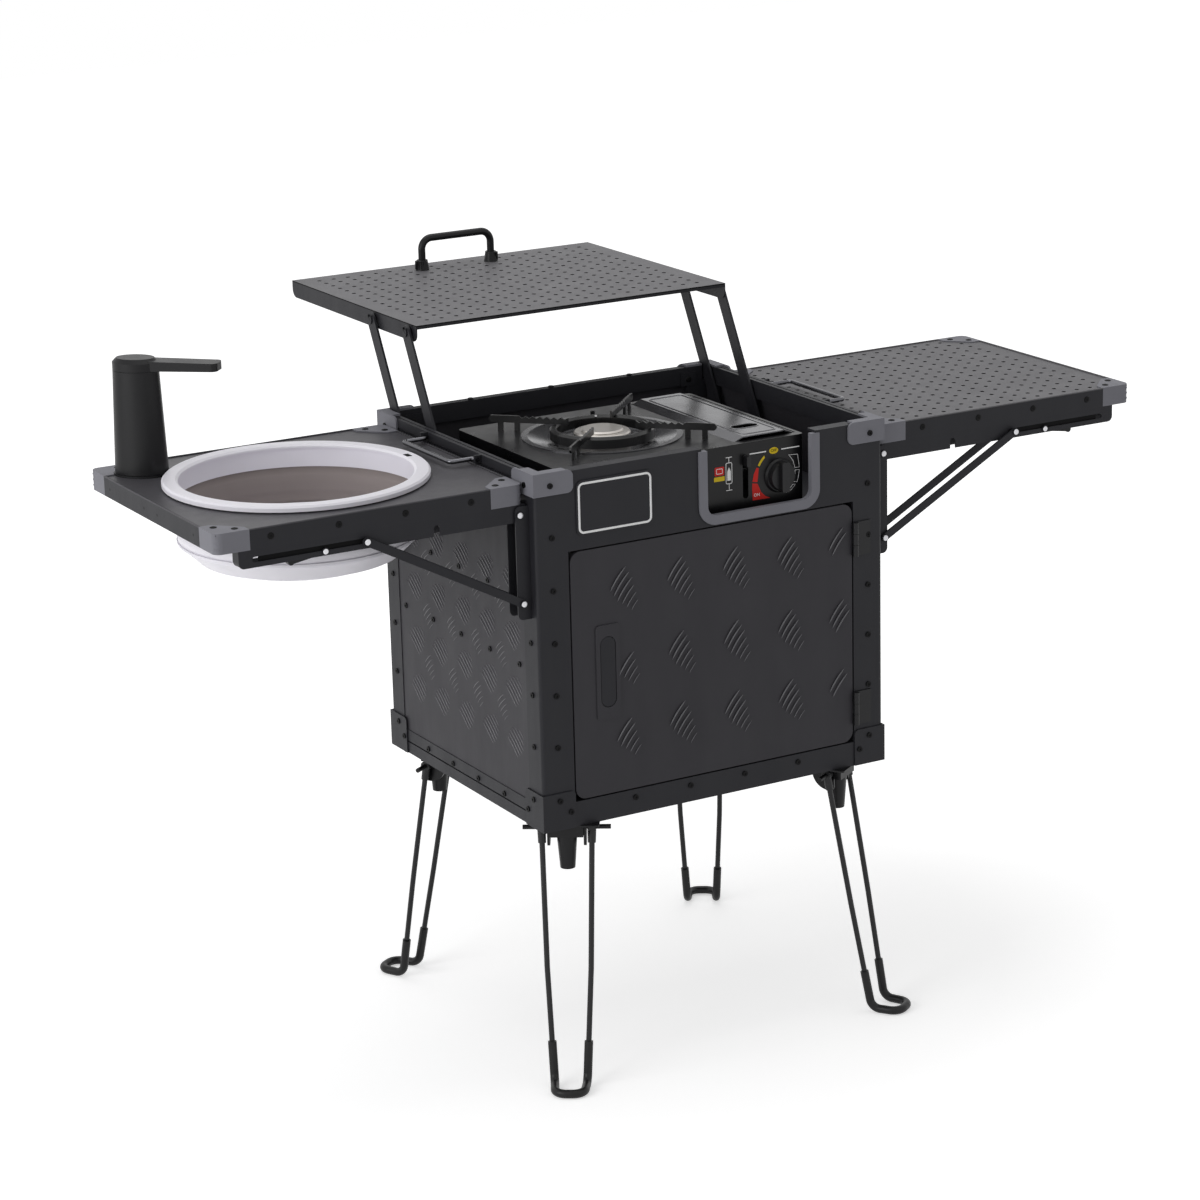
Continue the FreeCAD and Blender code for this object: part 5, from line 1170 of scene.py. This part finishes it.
def overflow():
    """A near-black patch on the flat top of the basin's rim, as painted shade inside the overflow slot."""
    points = []
    for radius, height in OVERFLOW_ROWS:
        for i in range(OVERFLOW_STEPS + 1):
            turned = math.radians(OVERFLOW_START + OVERFLOW_SWEEP * i / OVERFLOW_STEPS)
            points.append(at(BASIN_X + radius * math.cos(turned),
                             BASIN_Y + radius * math.sin(turned), height))
    row = OVERFLOW_STEPS + 1
    faces = [(k * row + i, (k + 1) * row + i, (k + 1) * row + i + 1, k * row + i + 1)
             for k in range(2) for i in range(OVERFLOW_STEPS)]
    mesh = bpy.data.meshes.new("overflow_slot_shade")
    mesh.from_pydata(points, [], faces)
    return seat(as_piece("overflow_slot_shade", mesh, shade_and_print_black), "basin", "black_plastic")


overflow()

# %% [markdown]
# ## Small fittings
# Each slotted arm has a near-black strip inside it, painted shade for the dark channel behind the slot, so
# only the far end of the slot lets light through.
# The rear rim has two small plates with a screw on its inner face, and the stove's burner has a spark
# electrode on a bent bracket. They are small plates and rods, cut from outlines.

# %% Small fittings
def slab(name, boxes, finish_of, soften=0.3):
    """Blocks between low and high corners in millimetres, with softened edges, as one piece."""
    shape = bmesh.new()
    for low, high in boxes:
        low, high = at(*low), at(*high)
        block = bmesh.ops.create_cube(shape, size=1.0)["verts"]
        for vertex in block:
            vertex.co = Vector([(low[k] + high[k]) / 2 + vertex.co[k] * (high[k] - low[k])
                                for k in range(3)])
    bmesh.ops.bevel(shape, geom=shape.edges[:], offset=soften * MM, segments=2, affect="EDGES")
    mesh = bpy.data.meshes.new(name)
    shape.to_mesh(mesh)
    shape.free()
    return as_piece(name, mesh, finish_of)


def both_arms(low, high):
    """A box and its twin on the rear bracket."""
    return [(low, high), ((low[0], BOX_D - high[1], low[2]), (high[0], BOX_D - low[1], high[2]))]


# Near-black strips inside the slotted arms: painted shade in the channels.
SHADE_STRIP_LOW, SHADE_STRIP_HIGH = (-353.0, 20.3, 399.0), (-206.0, 21.2, 407.0)
left_shade_strips = both_arms(SHADE_STRIP_LOW, SHADE_STRIP_HIGH)
right_shade_strips = [((BOX_W - high[0], low[1], low[2]), (BOX_W - low[0], high[1], high[2]))
                for low, high in left_shade_strips]
seat(slab("left_slot_shade_strips", left_shade_strips, shade_and_print_black), "left_table", "black_plastic")
seat(slab("right_slot_shade_strips", right_shade_strips, shade_and_print_black), "right_table", "black_plastic")

RIM_FACE, PLATE_SHEET, PLATE_WIDE = BOX_D - 12.0, 1.6, 24.5
PLATE_LOW, PLATE_HIGH, PLATE_PLACES = 426.5, 445.5, (29.5, 446.0)
plates = [((x, RIM_FACE - PLATE_SHEET, PLATE_LOW), (x + PLATE_WIDE, RIM_FACE, PLATE_HIGH))
          for x in PLATE_PLACES]
seat(slab("rim_plates", plates, frame_coat, 0.5), "box", "frame_coat")
socketed("rim_plate_screws", "box",
         [((x + 12.2, RIM_FACE - PLATE_SHEET, 435.5), FRONT) for x in PLATE_PLACES], 4.2)

# %% [markdown]
# The stove lights its gas with a spark: a bent steel pin in a white ceramic sleeve, held beside the burner
# by a bent bracket. The pin is a curve with a round section, and the bracket three thin blocks.

# %% Spark electrode
SPARK_X, SPARK_Y, SPARK_FOOT = 214.0, 226.0, 441.0


def rod_piece(name, path, radius, finish_of):
    """A round rod along a few points in millimetres."""
    data = bpy.data.curves.new(name, "CURVE")
    data.dimensions = "3D"
    data.bevel_depth = radius * MM
    data.bevel_resolution = 3
    data.use_fill_caps = True
    spline = data.splines.new("POLY")
    spline.points.add(len(path) - 1)
    for point, place in zip(spline.points, path):
        point.co = (*at(*place), 1)
    return as_piece(name, frozen(bpy.data.objects.new(name + "_path", data)), finish_of)


seat(rod_piece("spark_pin", [(SPARK_X, SPARK_Y + 4, SPARK_FOOT), (SPARK_X, SPARK_Y + 4, 452),
                             (SPARK_X - 6, SPARK_Y - 12, 456)], 1.3, mark_white),
     "stove", "bright_steel")
bracket_low, bracket_back = SPARK_Y + 7, SPARK_Y + 8.2
seat(slab("spark_bracket", [
    ((SPARK_X - 7, bracket_low, SPARK_FOOT), (SPARK_X + 7, bracket_back, 453)),
    ((SPARK_X - 3, bracket_low, 453), (SPARK_X + 3, bracket_back, 458)),
    ((SPARK_X - 7, SPARK_Y, SPARK_FOOT), (SPARK_X + 7, bracket_back, SPARK_FOOT + 1.2))],
          cast_black), "stove", "cast_black")

# %% [markdown]
# The lid's front and rear hems are a thin rolled edge in the photo. The CAD hems are deeper, so this
# piece takes the CAD shape of the lid's edges and draws the hems' lower rim up.

# %% Thin hems
CAD_HEM, HEM_DROP, HEM_ROUND = 10.0, 5.0, 1.5


def thin_hems():
    """The lid's edges with the hems' lower rim drawn up."""
    shape = nodes["lid_edges"].data.copy()
    sheet_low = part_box("lid_panel")[0].z
    for vertex in shape.vertices:
        if abs(vertex.co.z - (sheet_low - (CAD_HEM - HEM_ROUND) * MM)) < 0.5 * MM:
            vertex.co.z = sheet_low - (HEM_DROP - HEM_ROUND) * MM
    return seat(as_piece("lid_rim", shape, black_coat), "lid", "light_coat", "lid_edges")


thin_hems()

# %% [markdown]
# The cartridge cover has a pressed bead near its edges and a rolled rim round its finger hole. Both are
# drawn on the cover's top as closed paths and swept like the painted lines.

# %% Cover beads
COVER_TOP = 450.0
HOLE_X, HOLE_Y, HOLE_HALF, HOLE_ROUND = 344.75, 79.0, 18.0, 8.0


def flat_drawing(name, paths):
    """Closed (x, y) paths in millimetres, as edges at height zero."""
    points, edges = [], []
    for path in paths:
        first = len(points)
        points += [(at(x, y, 0).x, at(x, y, 0).y, 0) for x, y in path]
        edges += [(first + i, first + (i + 1) % len(path)) for i in range(len(path))]
    mesh = bpy.data.meshes.new(name)
    mesh.from_pydata(points, edges, [])
    return mesh


rim_of_hole = rounded(HOLE_X - HOLE_HALF - 1, HOLE_X + HOLE_HALF + 1, HOLE_Y - HOLE_ROUND - 1,
                      HOLE_Y + HOLE_ROUND + 1, HOLE_ROUND + 0.9)
beads = grow("cover_beads", LINES, flat_drawing("cover_beads", [
    rounded(320.0, 370.0, 42.0, 274.0, 6.0), rim_of_hole]), **{
        "Half width": 1.3 * MM, "Flatness": Vector((1, 1, 0.55)),
        "Place": Vector((0, 0, at(0, 0, COVER_TOP).z)), "Finish": chrome_sheet})
seat(beads, "cartridge_cover", "bright_steel")
